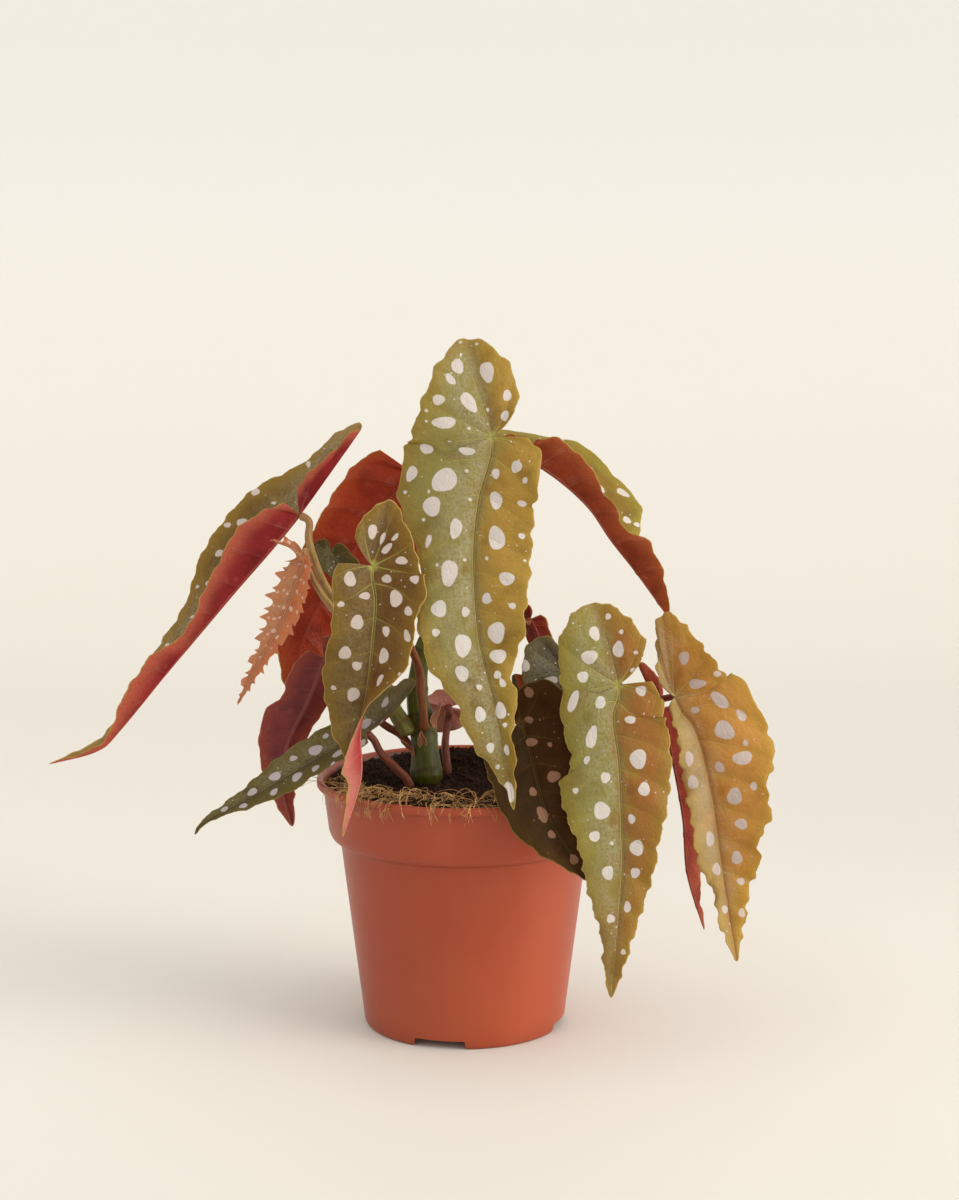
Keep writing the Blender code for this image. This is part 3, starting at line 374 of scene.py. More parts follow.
class Paint(Nodes):
    """Builds one material."""

    def __init__(self, name: str) -> None:
        """Start an empty material.

        Args:
            name: The material's name.
        """
        self.mat = bpy.data.materials.new(name)
        self.mat.use_nodes = True
        super().__init__(self.mat.node_tree)
        self.tree.nodes.clear()
        self.out = self.node("ShaderNodeOutputMaterial")

    def mark(self, name: str) -> Socket:
        """Read a number that the mesh carries.

        Args:
            name: The number's name.

        Returns:
            The number.
        """
        node = self.node("ShaderNodeAttribute")
        node.attribute_name = name
        return node.outputs["Fac"]

    def place(self) -> Socket:
        """Object coordinates."""
        return self.node("ShaderNodeTexCoord").outputs["Object"]

    def times(self, a: object, b: object) -> Socket:
        """Product of two numbers."""
        return self.maths("MULTIPLY", a, b)

    def plus(self, a: object, b: object) -> Socket:
        """Sum of two numbers."""
        return self.maths("ADD", a, b)

    def minus(self, a: object, b: object, clamp: bool = False) -> Socket:
        """Difference of two numbers; a clamped one stays between 0 and 1."""
        return self.maths("SUBTRACT", a, b, clamp)

    def vector(self, x: object, y: object, z: object = 0.0) -> Socket:
        """Put three numbers together."""
        return self.node("ShaderNodeCombineXYZ", X=x, Y=y, Z=z).outputs[0]

    def stretch(self, vector: object, scale: Point) -> Socket:
        """Scale a vector by its axes."""
        return self.node("ShaderNodeMapping", Vector=vector, Scale=scale).outputs[0]

    def step(self, value: object, low: float, high: float) -> Socket:
        """Rise smoothly from 0 to 1, or fall if low is above high.

        Args:
            value: What is read.
            low: Value that gives 0.
            high: Value that gives 1.

        Returns:
            The share.
        """
        ends = (low, high, 0.0, 1.0) if low < high else (high, low, 1.0, 0.0)
        node = self.node("ShaderNodeMapRange", Value=value, From_Min=ends[0], From_Max=ends[1],
                         To_Min=ends[2], To_Max=ends[3])
        node.interpolation_type = "SMOOTHSTEP"
        return node.outputs["Result"]

    def noise(self, vector: object, scale: float, detail: float = 3.0,
              rough: float = 0.55) -> Socket:
        """Cloudy noise around one half.

        Args:
            vector: Where it is read.
            scale: How fine it is.
            detail: How many finer layers it has.
            rough: How strong the finer layers are.

        Returns:
            The noise.
        """
        node = self.node("ShaderNodeTexNoise", Vector=vector, Scale=scale, Detail=detail,
                         Roughness=rough)
        return node.outputs[0]

    def cells(self, vector: object, scale: float, feature: str = "F1") -> bpy.types.Node:
        """Cell noise.

        Args:
            vector: Where it is read.
            scale: How fine it is.
            feature: Which distance it measures.

        Returns:
            The node: its distance is the first output and its colour the second.
        """
        node = self.node("ShaderNodeTexVoronoi", Vector=vector, Scale=scale)
        node.feature = feature
        return node

    def mix(self, share: object, a: object, b: object, how: str = "MIX") -> Socket:
        """Mix two colours.

        Args:
            share: How much of the second one shows.
            a: First colour.
            b: Second colour.
            how: How they are mixed.

        Returns:
            The mixed colour.
        """
        node = self.tree.nodes.new("ShaderNodeMix")
        node.data_type = "RGBA"
        node.blend_type = how
        node.clamp_factor = True
        self.put(node.inputs[0], share)
        self.put(node.inputs[6], a)
        self.put(node.inputs[7], b)
        return node.outputs[2]

    def tint(self, body: object, colour: object, mask: object, weight: float) -> Socket:
        """Lay a colour over the body where a mask shows, by a weight at most."""
        return self.mix(self.times(mask, weight), body, colour)

    def bump(self, height: object, deep: float, strength: float = 1.0) -> Socket:
        """Raise a surface by a height.

        Args:
            height: The height, around 0 to 1.
            deep: Millimetres for one unit of it.
            strength: How much of it shows.

        Returns:
            The normal.
        """
        node = self.node("ShaderNodeBump", Strength=strength, Distance=deep * MM, Height=height)
        return node.outputs[0]

    def surface(self, colour: object, rough: object, normal: object = None,
                specular: float = 0.5, sheen: float = 0.0, glow: object = None,
                share: float = 0.3) -> Material:
        """Finish the material.

        Args:
            colour: Base colour.
            rough: Roughness.
            normal: Bumped normal, if any.
            specular: Specular level.
            sheen: Weight of the sheen.
            glow: Colour of the light that comes through, if any does.
            share: How much of the surface lets light through.

        Returns:
            The material.
        """
        bsdf = self.node("ShaderNodeBsdfPrincipled", Base_Color=colour, Roughness=rough)
        bsdf.inputs["Specular IOR Level"].default_value = specular
        bsdf.inputs["Sheen Weight"].default_value = sheen
        if normal is not None:
            self.put(bsdf.inputs["Normal"], normal)
        if glow is None:
            self.put(self.out.inputs["Surface"], bsdf.outputs[0])
            return self.mat
        through = self.node("ShaderNodeBsdfTranslucent", Color=glow)
        if normal is not None:
            self.put(through.inputs["Normal"], normal)
        both = self.node("ShaderNodeMixShader")
        both.inputs[0].default_value = share
        self.put(both.inputs[1], bsdf.outputs[0])
        self.put(both.inputs[2], through.outputs[0])
        self.put(self.out.inputs["Surface"], both.outputs[0])
        return self.mat


@dataclass(frozen=True)
class LeafFinish:
    """Colours of one blade.

    Args:
        left: Upper face on the viewer's left of the midrib, whose paler grey-green is partly painted sheen.
        right: Upper face on the other side.
        tip: Upper face towards the tip.
        deep: Darker clouds in the upper face, and the painted shade along the midrib and in its groove.
        vein: Veins of the upper face.
        edge: Paler beds along the side veins, and the band along the margin, a painted glow of light coming
            through.
        line: The thin rim itself.
        dot: The pale spots.
        under: Underside.
        under_deep: Darker clouds of the underside.
        under_edge: Underside where the light comes through near the margin.
        under_vein: Raised veins of the underside.
        through: Light that comes through to the upper face.
        painted_sheen: How strong the painted silvery sheen beside the midrib is, 0 to 1.
        share: How much of the blade lets light through.
        rough: Roughness of the upper face.
        specks: How many of the small specks show, 0 to 1.
        shine: Specular level of both faces.
    """

    left: Colour = rgb(152, 148, 80)
    right: Colour = rgb(180, 146, 64)
    tip: Colour = rgb(126, 106, 28)
    deep: Colour = rgb(96, 70, 24)
    vein: Colour = rgb(182, 178, 96)
    edge: Colour = rgb(168, 142, 54)
    line: Colour = rgb(180, 156, 78)
    dot: Colour = rgb(228, 225, 219)
    under: Colour = rgb(150, 48, 28)
    under_deep: Colour = rgb(98, 28, 16)
    under_edge: Colour = rgb(196, 100, 48)
    under_vein: Colour = rgb(170, 78, 58)
    through: Colour = rgb(214, 160, 52)
    painted_sheen: float = 0.72
    share: float = 0.38
    rough: float = 0.38
    specks: float = 0.75
    shine: float = 0.22

    def flat(self, p: Paint) -> Socket:
        """Millimetres across and along the blade, laid flat."""
        return p.vector(p.mark("across"), p.mark("along"))

    def veins(self, p: Paint) -> tuple[Socket, Socket]:
        """How near each spot is to a side vein.

        Args:
            p: The material being built.

        Returns:
            The distance to the nearest side vein in millimetres, and how much of a vein shows.
        """
        phase = p.maths("FRACT", p.plus(p.mark("vein"), 0.5))
        off = p.times(p.maths("ABSOLUTE", p.minus(phase, 0.5)), p.mark("gap"))
        width = p.minus(0.50, p.times(p.mark("out"), 0.30))
        line = p.step(p.maths("DIVIDE", off, width), 1.0, 0.35)
        near = p.step(self.hub(p), 26.0, 2.0)
        fade = p.plus(0.32, p.times(near, 0.68))
        thin = p.minus(1.0, p.times(p.mark("out"), 0.7))
        return off, p.times(line, p.times(fade, thin))

    def hub(self, p: Paint) -> Socket:
        """Measure from the joint, laid flat.

        Args:
            p: The material being built.

        Returns:
            The distance in millimetres.
        """
        across, along = p.mark("across"), p.mark("along")
        square = p.plus(p.times(across, across), p.times(along, along))
        return p.maths("SQRT", square)

    def midrib(self, p: Paint) -> Socket:
        """How much of the midrib's pale line shows."""
        line = p.step(self.beside(p), 1.0, 0.55)
        return p.times(line, p.step(p.mark("along"), -0.5, 1.0))

    def beside(self, p: Paint) -> Socket:
        """Distance from the midrib's middle, in shares of its half width."""
        width = p.minus(0.95, p.times(p.mark("along"), 0.0045))
        return p.maths("DIVIDE", p.maths("ABSOLUTE", p.mark("across")), width)

    def net(self, p: Paint, flat: Socket) -> Socket:
        """Draw the fine network of veins between the side veins.

        Args:
            p: The material being built.
            flat: Flat place on the blade.

        Returns:
            How much of it shows.
        """
        bent = p.mix(1.0, flat, p.noise(flat, 0.35, 2.0), "ADD")
        edge = p.cells(bent, 0.30, "DISTANCE_TO_EDGE")
        return p.step(edge.outputs[0], 0.10, 0.0)

    def upper(self, name: str) -> Material:
        """Make the spotted upper face.

        Args:
            name: The material's name.

        Returns:
            The material.
        """
        p = Paint(name)
        flat = self.flat(p)
        across, along, rim = p.mark("across"), p.mark("along"), p.mark("rim")
        cloud = p.noise(flat, 0.07, 4.0)
        fine = p.noise(flat, 0.9, 5.0, 0.7)
        grain = p.noise(flat, 4.0, 2.0)
        # The ground: two sides, the viewer's left one paler and partly painted sheen, the tip and darker
        # clouds.
        wander = p.times(p.minus(cloud, 0.5), 26.0)
        body = p.mix(p.step(p.plus(across, wander), -8.0, 9.0), self.left, self.right)
        body = p.tint(body, self.tip, p.step(along, 62.0, 120.0), 0.85)
        body = p.tint(body, self.deep, p.step(cloud, 0.46, 0.70), 0.55)
        off, vein = self.veins(p)
        midrib = self.midrib(p)
        # Paler beds along the side veins, and a painted silvery sheen in a strip beside the midrib.
        bed = p.times(p.step(off, 3.6, 0.2), p.step(p.noise(flat, 0.16, 2.0), 0.38, 0.66))
        body = p.tint(body, self.edge, bed, 0.34)
        beside = p.times(p.step(across, 3.0, -1.0), p.step(across, -21.0, -4.0))
        beside = p.times(beside, p.step(p.noise(flat, 0.11, 3.0), 0.30, 0.52))
        beside = p.times(beside, p.step(fine, 0.34, 0.56))
        # Painted sheen: a pale grey-green strip beside the midrib.
        body = p.tint(body, rgb(176, 172, 138), beside, self.painted_sheen)
        # Painted glow of light coming through, in a band along the margin.
        body = p.tint(body, self.edge, p.step(rim, 9.0, 0.4), 0.50)
        body = p.mix(p.step(fine, 0.30, 0.72), p.mix(0.16, body, self.deep), body)
        # Veins, the painted shade along the midrib and in its groove, the joint and the rim.
        net = self.net(p, flat)
        body = p.tint(body, self.vein, net, 0.05)
        body = p.tint(body, self.vein, vein, 0.78)
        # Painted shade along the midrib's valley and in its groove.
        body = p.tint(body, self.deep, p.step(p.maths("ABSOLUTE", across), 2.6, 0.4), 0.30)
        body = p.tint(body, self.vein, midrib, 0.70)
        groove = p.times(p.step(self.beside(p), 0.48, 0.22), p.step(along, 0.0, 8.0))
        body = p.tint(body, self.deep, groove, 0.75)
        body = p.tint(body, self.vein, p.step(self.hub(p), 3.0, 0.9), 0.95)
        body = p.mix(p.step(rim, 0.45, 0.12), body, self.line)
        # Small specks by a pattern, and the large spots that the mesh carries.
        small = p.cells(flat, 0.40)
        size = p.times(p.minus(small.outputs[1], 1.0 - self.specks, True), 0.23)
        speck = p.times(p.step(p.minus(small.outputs[0], size), 0.03, -0.03),
                        p.step(rim, 0.8, 1.6))
        frayed = p.plus(p.mark("spot"), p.times(p.minus(fine, 0.5), 0.40))
        spot = p.step(frayed, -0.08, 0.12)
        pale = p.mix(p.step(grain, 0.34, 0.60), p.mix(0.12, self.dot, self.deep), self.dot)
        pit = p.step(p.cells(flat, 1.3).outputs[0], 0.10, 0.0)
        pale = p.mix(pit, pale, p.mix(0.30, self.dot, self.deep))
        body = p.tint(body, self.dot, speck, 0.9)
        body = p.mix(spot, body, pale)
        # Sunken veins between puckers.
        height = p.times(p.plus(vein, midrib), -0.9)
        height = p.minus(height, p.times(net, 0.22))
        height = p.plus(height, p.times(p.noise(flat, 0.22, 3.0), 2.2))
        height = p.plus(height, p.times(fine, 0.30))
        height = p.plus(height, p.times(grain, 0.16))
        rough = p.plus(self.rough, p.times(fine, 0.14))
        glow = p.mix(p.times(spot, 0.3), p.mix(0.40, body, self.through), self.dot)
        return p.surface(body, rough, p.bump(height, 0.26, 1.0), specular=self.shine, glow=glow,
                         share=self.share)

    def underside(self, name: str) -> Material:
        """Make the red underside with its raised veins.

        Args:
            name: The material's name.

        Returns:
            The material.
        """
        p = Paint(name)
        flat = self.flat(p)
        rim = p.mark("rim")
        cloud = p.noise(flat, 0.06, 4.0)
        fine = p.noise(flat, 1.0, 4.0, 0.65)
        body = p.mix(p.times(p.step(cloud, 0.40, 0.66), 0.75), self.under, self.under_deep)
        off, vein = self.veins(p)
        midrib = self.midrib(p)
        body = p.tint(body, self.under_deep, p.step(off, 3.0, 0.1), 0.28)
        body = p.tint(body, self.under_edge, p.step(rim, 9.0, 0.0), 0.62)
        body = p.mix(p.step(fine, 0.30, 0.70), p.mix(0.25, body, self.under_deep), body)
        net = self.net(p, flat)
        body = p.tint(body, self.under_deep, net, 0.07)
        body = p.tint(body, self.under_vein, vein, 0.45)
        body = p.tint(body, self.under_vein, midrib, 0.6)
        body = p.mix(p.step(rim, 0.5, 0.12), body, self.line)
        pale = p.step(p.mark("spot"), -0.4, 0.6)
        body = p.tint(body, self.dot, pale, 0.03)
        height = p.plus(p.times(p.plus(vein, midrib), 1.1), p.times(fine, 0.4))
        height = p.minus(height, p.times(net, 0.25))
        glow = p.mix(0.5, self.under_edge, body)
        return p.surface(body, p.plus(0.36, p.times(fine, 0.16)), p.bump(height, 0.30, 0.9),
                         specular=self.shine, glow=glow, share=self.share)

    def rim(self, name: str) -> Material:
        """Make the thin pale rim between the two faces.

        Args:
            name: The material's name.

        Returns:
            The material.
        """
        p = Paint(name)
        fine = p.noise(self.flat(p), 0.8, 3.0)
        body = p.mix(p.step(fine, 0.35, 0.65), p.mix(0.35, self.line, self.under_edge), self.line)
        return p.surface(body, 0.45, specular=0.4, glow=self.line, share=self.share)


@dataclass(frozen=True)
class StemFinish:
    """Skin of a cane or a leaf stalk.

    Args:
        low: Colour near its foot.
        high: Colour near its end.
        flush: Colour of the clouds and of the joints.
        streak: Colour of the lengthwise streaks and of the small pale scars.
        scars: How many small pale scars show, 0 to 1.
        rough: Roughness.
    """

    low: Colour
    high: Colour
    flush: Colour
    streak: Colour
    scars: float = 0.35
    rough: float = 0.36

    def build(self, name: str) -> Material:
        """Make the streaked skin with its pale scars.

        Args:
            name: The material's name.

        Returns:
            The material.
        """
        p = Paint(name)
        run, ring = p.mark("run"), p.vector(p.mark("ring_x"), p.mark("ring_y"), p.mark("run_mm"))
        long = p.stretch(ring, (1.0, 1.0, 0.16))
        cloud = p.noise(p.stretch(ring, (0.5, 0.5, 0.09)), 1.4, 3.0)
        streak = p.noise(p.stretch(ring, (3.2, 3.2, 0.11)), 1.6, 4.0, 0.6)
        fine = p.noise(p.stretch(ring, (5.0, 5.0, 1.3)), 1.5, 3.0)
        body = p.mix(run, self.low, self.high)
        body = p.tint(body, self.flush, p.step(cloud, 0.42, 0.66), 0.7)
        body = p.tint(body, self.streak, p.step(streak, 0.50, 0.72), 0.45)
        body = p.tint(body, self.flush, p.mark("joint"), 0.75)
        body = p.mix(p.step(fine, 0.25, 0.75), p.mix(0.3, body, self.flush), body)
        # Small pale scars of many sizes.
        scar = p.cells(long, 2.4)
        wide = p.times(p.minus(scar.outputs[1], 1.0 - self.scars, True), 0.7)
        mark = p.step(p.minus(scar.outputs[0], wide), 0.06, -0.05)
        body = p.tint(body, self.streak, mark, 0.75)
        height = p.plus(p.times(streak, 0.6), p.times(fine, 0.35))
        height = p.plus(height, p.times(mark, 0.4))
        glow = p.mix(0.5, body, self.streak)
        return p.surface(body, p.plus(self.rough, p.times(fine, 0.12)),
                         p.bump(height, 0.22, 0.8), specular=0.2, glow=glow, share=0.10)


@dataclass(frozen=True)
class PlasticFinish:
    """Moulded plastic of the pot.

    Args:
        body: Main colour.
        pale: Paler clouds and flow lines.
        dust: Scuffs and pores.
    """

    body: Colour = rgb(158, 62, 31)
    pale: Colour = rgb(182, 92, 56)
    dust: Colour = rgb(120, 86, 62)

    def build(self, name: str) -> Material:
        """Make the plastic with its flow lines, scuffs and smears of soil.

        Args:
            name: The material's name.

        Returns:
            The material.
        """
        p = Paint(name)
        place = p.place()
        cloud = p.noise(place, 16.0, 3.0)
        flow = p.noise(p.stretch(place, (60.0, 60.0, 7.0)), 1.0, 4.0, 0.6)
        pores = p.noise(place, 900.0, 3.0, 0.7)
        body = p.mix(p.times(p.step(cloud, 0.38, 0.68), 0.22), self.body, self.pale)
        body = p.tint(body, self.pale, p.step(flow, 0.52, 0.75), 0.12)
        body = p.mix(p.step(pores, 0.25, 0.7), p.mix(0.10, body, self.dust), body)
        # Small scuffs, and soil smeared where the mesh is marked as soiled.
        scuff = p.cells(p.stretch(place, (1.0, 1.0, 2.2)), 150.0)
        tiny = p.times(p.minus(scuff.outputs[1], 0.82, True), 0.55)
        fleck = p.step(p.minus(scuff.outputs[0], tiny), 0.03, -0.02)
        body = p.tint(body, self.dust, fleck, 0.45)
        smear = p.times(p.mark("soiled"), p.step(p.noise(place, 120.0, 5.0, 0.7), 0.36, 0.52))
        body = p.tint(body, rgb(52, 34, 24), smear, 0.85)
        height = p.plus(p.times(pores, 0.35), p.times(flow, 0.5))
        height = p.minus(height, p.times(fleck, 0.5))
        rough = p.plus(0.28, p.times(p.noise(place, 60.0, 4.0), 0.16))
        return p.surface(body, rough, p.bump(height, 0.10, 0.5), specular=0.42, sheen=0.02,
                         glow=rgb(226, 104, 52), share=0.10)


@dataclass(frozen=True)
class EarthFinish:
    """Crumbly matter: soil, crumbs or fibre.

    Args:
        dark: Colour of the hollows, a painted shade.
        body: Main colour.
        pale: Colour of the chips, and of the grit, where it is a painted highlight on the raised crumbs.
        size: How fine its lumps are, as a scale of noise over metres.
        deep: Depth of its lumps in millimetres.
    """

    dark: Colour
    body: Colour
    pale: Colour
    size: float = 900.0
    deep: float = 0.6

    def build(self, name: str) -> Material:
        """Make the crumbly matter with its pale chips.

        Args:
            name: The material's name.

        Returns:
            The material.
        """
        p = Paint(name)
        place = p.place()
        lumps = p.noise(place, self.size * 0.35, 5.0, 0.7)
        grit = p.noise(place, self.size * 1.6, 4.0, 0.7)
        # Painted shade in the hollows of the lumps, and painted highlight on the raised grit.
        body = p.mix(p.step(lumps, 0.35, 0.62), self.dark, self.body)
        body = p.tint(body, self.pale, p.step(grit, 0.50, 0.72), 0.65)
        chip = p.cells(place, self.size * 0.55)
        few = p.step(chip.outputs[1], 0.80, 0.86)
        body = p.tint(body, self.pale, p.times(few, p.step(chip.outputs[0], 0.30, 0.12)), 0.6)
        height = p.plus(lumps, p.times(grit, 0.6))
        return p.surface(body, 0.92, p.bump(height, self.deep, 1.0), specular=0.08)


# ------------------------------------------------------------------ leaf outlines
# An outline is drawn flat, from the notch by the stalk down one side to the tip and back up
# the other side round the ear: (across, along) in millimetres from the stalk's joint.
FRONT_TALL: Pairs = (
    (14, 1), (19, 6), (21, 17), (21, 24), (22, 33), (22, 46), (21, 58), (19, 69), (17, 82), (12, 90),
    (9, 98), (9, 107), (5, 116), (4, 126), (2, 138), (0, 146), (-2, 137), (-5, 130), (-10, 121),
    (-13, 112), (-14, 102), (-18, 93), (-21, 85), (-22, 76), (-23, 65), (-20, 56), (-21, 48),
    (-25, 40), (-30, 31), (-32, 22), (-33, 12), (-32, 0), (-29, -11), (-24, -20), (-19, -27),
    (-14, -33), (-7, -38), (-1, -40), (5, -37), (10, -31), (13, -23), (13, -15), (10, -8),
)
FRONT_LEFT_SMALL: Pairs = (
    (-13, 0.5), (-15.5, 5), (-16, 15), (-16, 26), (-18, 41), (-16, 54), (-11, 64),
    (-7, 72), (-5, 84), (-3, 96), (0, 106), (3, 96), (5, 84), (9, 76), (8, 66), (10, 56), (15, 46),
    (17, 38), (16, 28), (17, 16), (20, 12), (19, 3), (17, -4), (14, -11), (9, -18), (4, -24), (0, -26),
    (-4, -22), (-8, -17), (-9, -9),
)
RIGHT_FRONT: Pairs = (
    (13, 0.5), (18, 7), (20, 20), (20, 31), (18, 46), (14, 61), (11, 76), (8, 89),
    (4, 106), (0, 120), (-4, 108), (-6, 97), (-13, 79), (-17, 61), (-21, 50), (-23, 38), (-19, 32),
    (-18, 24), (-20, 12), (-21, 0), (-21, -9), (-19, -17), (-18, -22), (-12, -29), (-6, -33), (1, -33),
    (7, -29), (12, -21), (14, -12), (10, -6),
)
RIGHT_OUTER: Pairs = (
    (-4, 3), (-5, 7), (-8, 17), (-11, 30), (-11, 42), (-10, 54), (-10, 68), (-7, 74), (-5, 82), (-5, 90),
    (-3, 98), (0, 107), (3, 99), (6.5, 90), (10, 78), (15, 70), (16, 61), (22, 52), (22, 42), (27, 32),
    (27, 23), (26, 12), (23, 0), (19, -11), (14, -19), (9, -26), (5, -31), (1, -33), (-3, -30),
    (-4, -23), (-5, -13), (-5, -7),
)
LEFT_PURPLE: Pairs = (
    (7, 0), (10, 5), (12, 16), (12, 29), (16, 35), (15, 46), (10, 58), (5, 71), (0, 84),
    (-4, 72), (-6, 60), (-8, 46), (-10, 30), (-12, 16), (-12, 2), (-9, -6), (-4, -11), (1, -12), (4.5, -8),
)
LEFT_YOUNG: Pairs = (
    (4, 0.5), (7, 8), (8, 16), (7.2, 28), (5, 40), (2.4, 51), (0, 62), (-2.2, 51), (-4.6, 40),
    (-7.6, 28), (-8.4, 16), (-6.6, 6), (-4, -2), (-3, -9), (-0.6, -14), (1.8, -10), (2.6, -5),
)
LEFT_LONG: Pairs = (
    (8, 0), (12, 8), (14, 18), (14, 29), (12, 42), (9, 55), (6.5, 66), (6, 73), (9, 81), (8, 95),
    (6, 108), (4, 120), (2, 133), (0, 143), (-2, 133), (-3, 120), (-4, 108), (-6, 95), (-10, 84),
    (-14, 72), (-16, 62), (-19, 51), (-24, 40), (-27, 27), (-27, 13), (-24, 0), (-18, -12), (-14, -22),
    (-12, -31), (-8, -38), (-2, -43), (3, -38), (5, -29), (7, -18), (7, -9),
)
# The next three are in shares of the half widths, the length and the ear's length.
# The plain angel wing.
WING: Pairs = (
    (-0.80, 0.01), (-1.0, 0.12), (-0.98, 0.30), (-0.90, 0.46), (-0.72, 0.62), (-0.44, 0.79),
    (-0.17, 0.92), (0.0, 1.0),
    (0.17, 0.92), (0.44, 0.78), (0.72, 0.61), (0.90, 0.44), (1.0, 0.24), (0.99, 0.04),
    (0.92, -0.34), (0.70, -0.70), (0.38, -0.94), (0.02, -1.0), (-0.34, -0.86), (-0.50, -0.58),
    (-0.42, -0.30),
)
# An angel wing with a waist on its narrow side.
RIGHT_ARCH: Pairs = (
    (-0.80, 0.01), (-1.0, 0.12), (-0.98, 0.30), (-0.84, 0.46), (-0.60, 0.57), (-0.86, 0.68),
    (-0.90, 0.80), (-0.46, 0.94), (0.0, 1.0),
    (0.06, 0.93), (0.13, 0.82), (0.26, 0.70), (0.62, 0.60), (0.92, 0.46), (1.0, 0.26), (0.99, 0.04),
    (0.92, -0.34), (0.70, -0.70), (0.38, -0.94), (0.02, -1.0), (-0.34, -0.86), (-0.50, -0.58),
    (-0.42, -0.30),
)
# A narrow pointed scale without an ear.
LANCE: Pairs = (
    (-0.60, 0.02), (-0.92, 0.16), (-1.0, 0.32), (-0.80, 0.58), (-0.42, 0.82), (0.0, 1.0),
    (0.42, 0.82), (0.80, 0.58), (1.0, 0.32), (0.92, 0.16), (0.60, 0.02),
)

# Pale spots of the leaves that face forward: across, along, length, width, lean.
TALL_DOTS: Dots = (
    (-7, -29.5, 6, 4.5, 13), (3.5, -24.5, 8.5, 5, -8), (-11, -25.5, 5, 3, 23), (-17.5, -19, 5, 4, 70),
    (-6.5, -15, 9.5, 4.5, 23), (8.5, -14, 4, 3.5, -31), (6, -7, 4, 3, -41), (-17.5, -9, 9, 5.5, 80),
    (-25, 10, 5.5, 8.5, 100), (-9.5, 7, 6.5, 4, 100), (-27.5, 21.5, 4, 4, -45), (-14.5, 21, 9, 7.5, 110),
    (-17.5, 30, 7, 7, -24), (3.5, 13.5, 4, 3, 11), (10.5, 9.5, 4, 4, 40), (15, 13, 2.2, 2.2, 42),
    (6.5, 24, 7.5, 5, 12), (16.5, 23, 4, 4, 29), (-7.5, 37, 7.5, 4.5, -9), (-17.5, 42, 4.5, 2.2, -18),
    (8.5, 39.5, 10.5, 6, 9), (18, 37.5, 2.8, 2.8, 20), (-9.5, 53.5, 9.5, 6.5, -8), (12.5, 56.5, 6, 5.5, 90),
    (-4.5, -33.5, 1.7, 1.4, 8), (-3.5, -38, 1.5, 1.5, 5), (2.5, -36, 1.5, 1.5, -4),
    (-23, -16, 1.7, 1.4, 55), (-24, -11.5, 1.4, 1.4, 64), (-8.5, -4.5, 1.4, 1.4, 62),
    (0, -10.5, 1.7, 1.4, 0), (-16.5, 1.5, 1.3, 1.3, -83), (-7.5, 16, 1.5, 1.5, -20),
    (-3.5, 25.5, 1.5, 1.5, -6), (-19.5, 25, 1.3, 1.3, -31), (-28.5, 26, 1.5, 1.5, -40),
    (-20, 35, 1.4, 1.4, -24), (-14, 50.5, 1.4, 1.4, -12), (-3.5, 48.5, 1.4, 1.4, -3), (5, 48, 1.8, 1.5, 5),
    (19.5, 48.5, 1.5, 1.5, 17), (-14, 67, 6, 6, -9), (-4, 68.5, 4, 3, -3), (4.5, 64, 4.5, 3.5, 3),
    (14, 68, 2.7, 2.7, 9), (-16, 75.5, 3, 3, -9), (-6.5, 81, 8.5, 6, -4), (7, 78, 8.5, 6.5, 4),
    (6, 87.5, 6, 6, 3), (-9, 91, 6, 5, -4), (-4, 97.5, 2.3, 2.3, -2), (4, 94.5, 2.9, 2.9, 2),
    (5, 98, 3.5, 2.3, 2), (-6, 108, 6, 4, -2), (2, 108, 6.5, 4, 1), (2.5, 113.5, 1.9, 1.9, 1),
    (-4.5, 121, 4, 2.9, -2), (1.5, 123, 4, 2.1, 1), (-3, 128.5, 2, 1.7, -1), (-0.5, 138.5, 7.5, 4, 0),
)
SMALL_DOTS: Dots = (
    (-3, -12.5, 5.5, 3.5, 13), (1.5, -11, 5, 1.7, -8), (4, -7.5, 5.5, 2.4, -28), (6, -12.5, 3.5, 1.7, -26),
    (10.5, -4, 4.5, 3.5, -69), (5.5, 5.5, 4, 4, 38), (-8.5, 4.5, 4.5, 4, 90), (16, 8, 3.5, 3.5, 57),
    (-4, 11, 4, 3.5, 80), (8, 13, 5, 5, 25), (-13, 15, 3, 2.6, -34), (13, 17, 3.5, 2.9, 30),
    (-6.5, 22, 5.5, 5, -13), (5, 24.5, 4, 2.8, 9), (13.5, 25.5, 4.5, 2.6, 22), (-10, 34, 5.5, 4.5, -13),
    (5.5, 33.5, 6, 4, 7), (-5, 38.5, 3.5, 3.5, -6), (8, 42, 4.5, 3, 8), (-13, 49, 2.4, 2.4, -12),
    (-5, 50, 6, 4.5, -4), (16, 38.5, 1.9, 1.2, 100),
)
FRONT_DOTS: Dots = (
    (-3.5, -21.5, 5.5, 4, 9), (-8, -13.5, 6, 5.5, 70), (3.5, -13, 6.5, 4, -15), (-12.5, -6.5, 4.5, 4.5, 63),
    (-6, 9, 4, 4, -27), (-16, 10.5, 4, 3, -50), (3.5, -26, 2.4, 2.4, -8), (6.5, -19, 1.8, 1.8, -19),
    (9.5, -10, 2, 1.4, 70), (7, -4, 2.8, 1.8, 80), (8.5, 2.5, 4, 2.8, 90), (-9, 19.5, 8, 4, -20),
    (6.5, 14, 4.5, 4, 20), (15, 9.5, 2.8, 2.8, 51), (7.5, 29.5, 6.5, 6.5, 11), (-12, 28, 4, 2.2, -18),
    (-5.5, 35.5, 4.5, 3.5, -7), (9, 40.5, 5, 4.5, 10), (-17, 40, 2.4, 2.4, -18), (-7.5, 48, 7, 6, -7),
    (4, 51.5, 3.5, 2.8, 3), (-10.5, 57.5, 4, 4, -8), (5.5, 62.5, 6, 5, 4), (-4, 60.5, 1.6, 1.6, -3),
    (-5.5, 72, 5.5, 4.5, -3), (5, 71.5, 4, 3.5, 3), (3, 84.5, 4.5, 2.6, 2), (-3, 89.5, 3.5, 3, -1),
    (3, 101.5, 2.4, 1.8, 1),
)
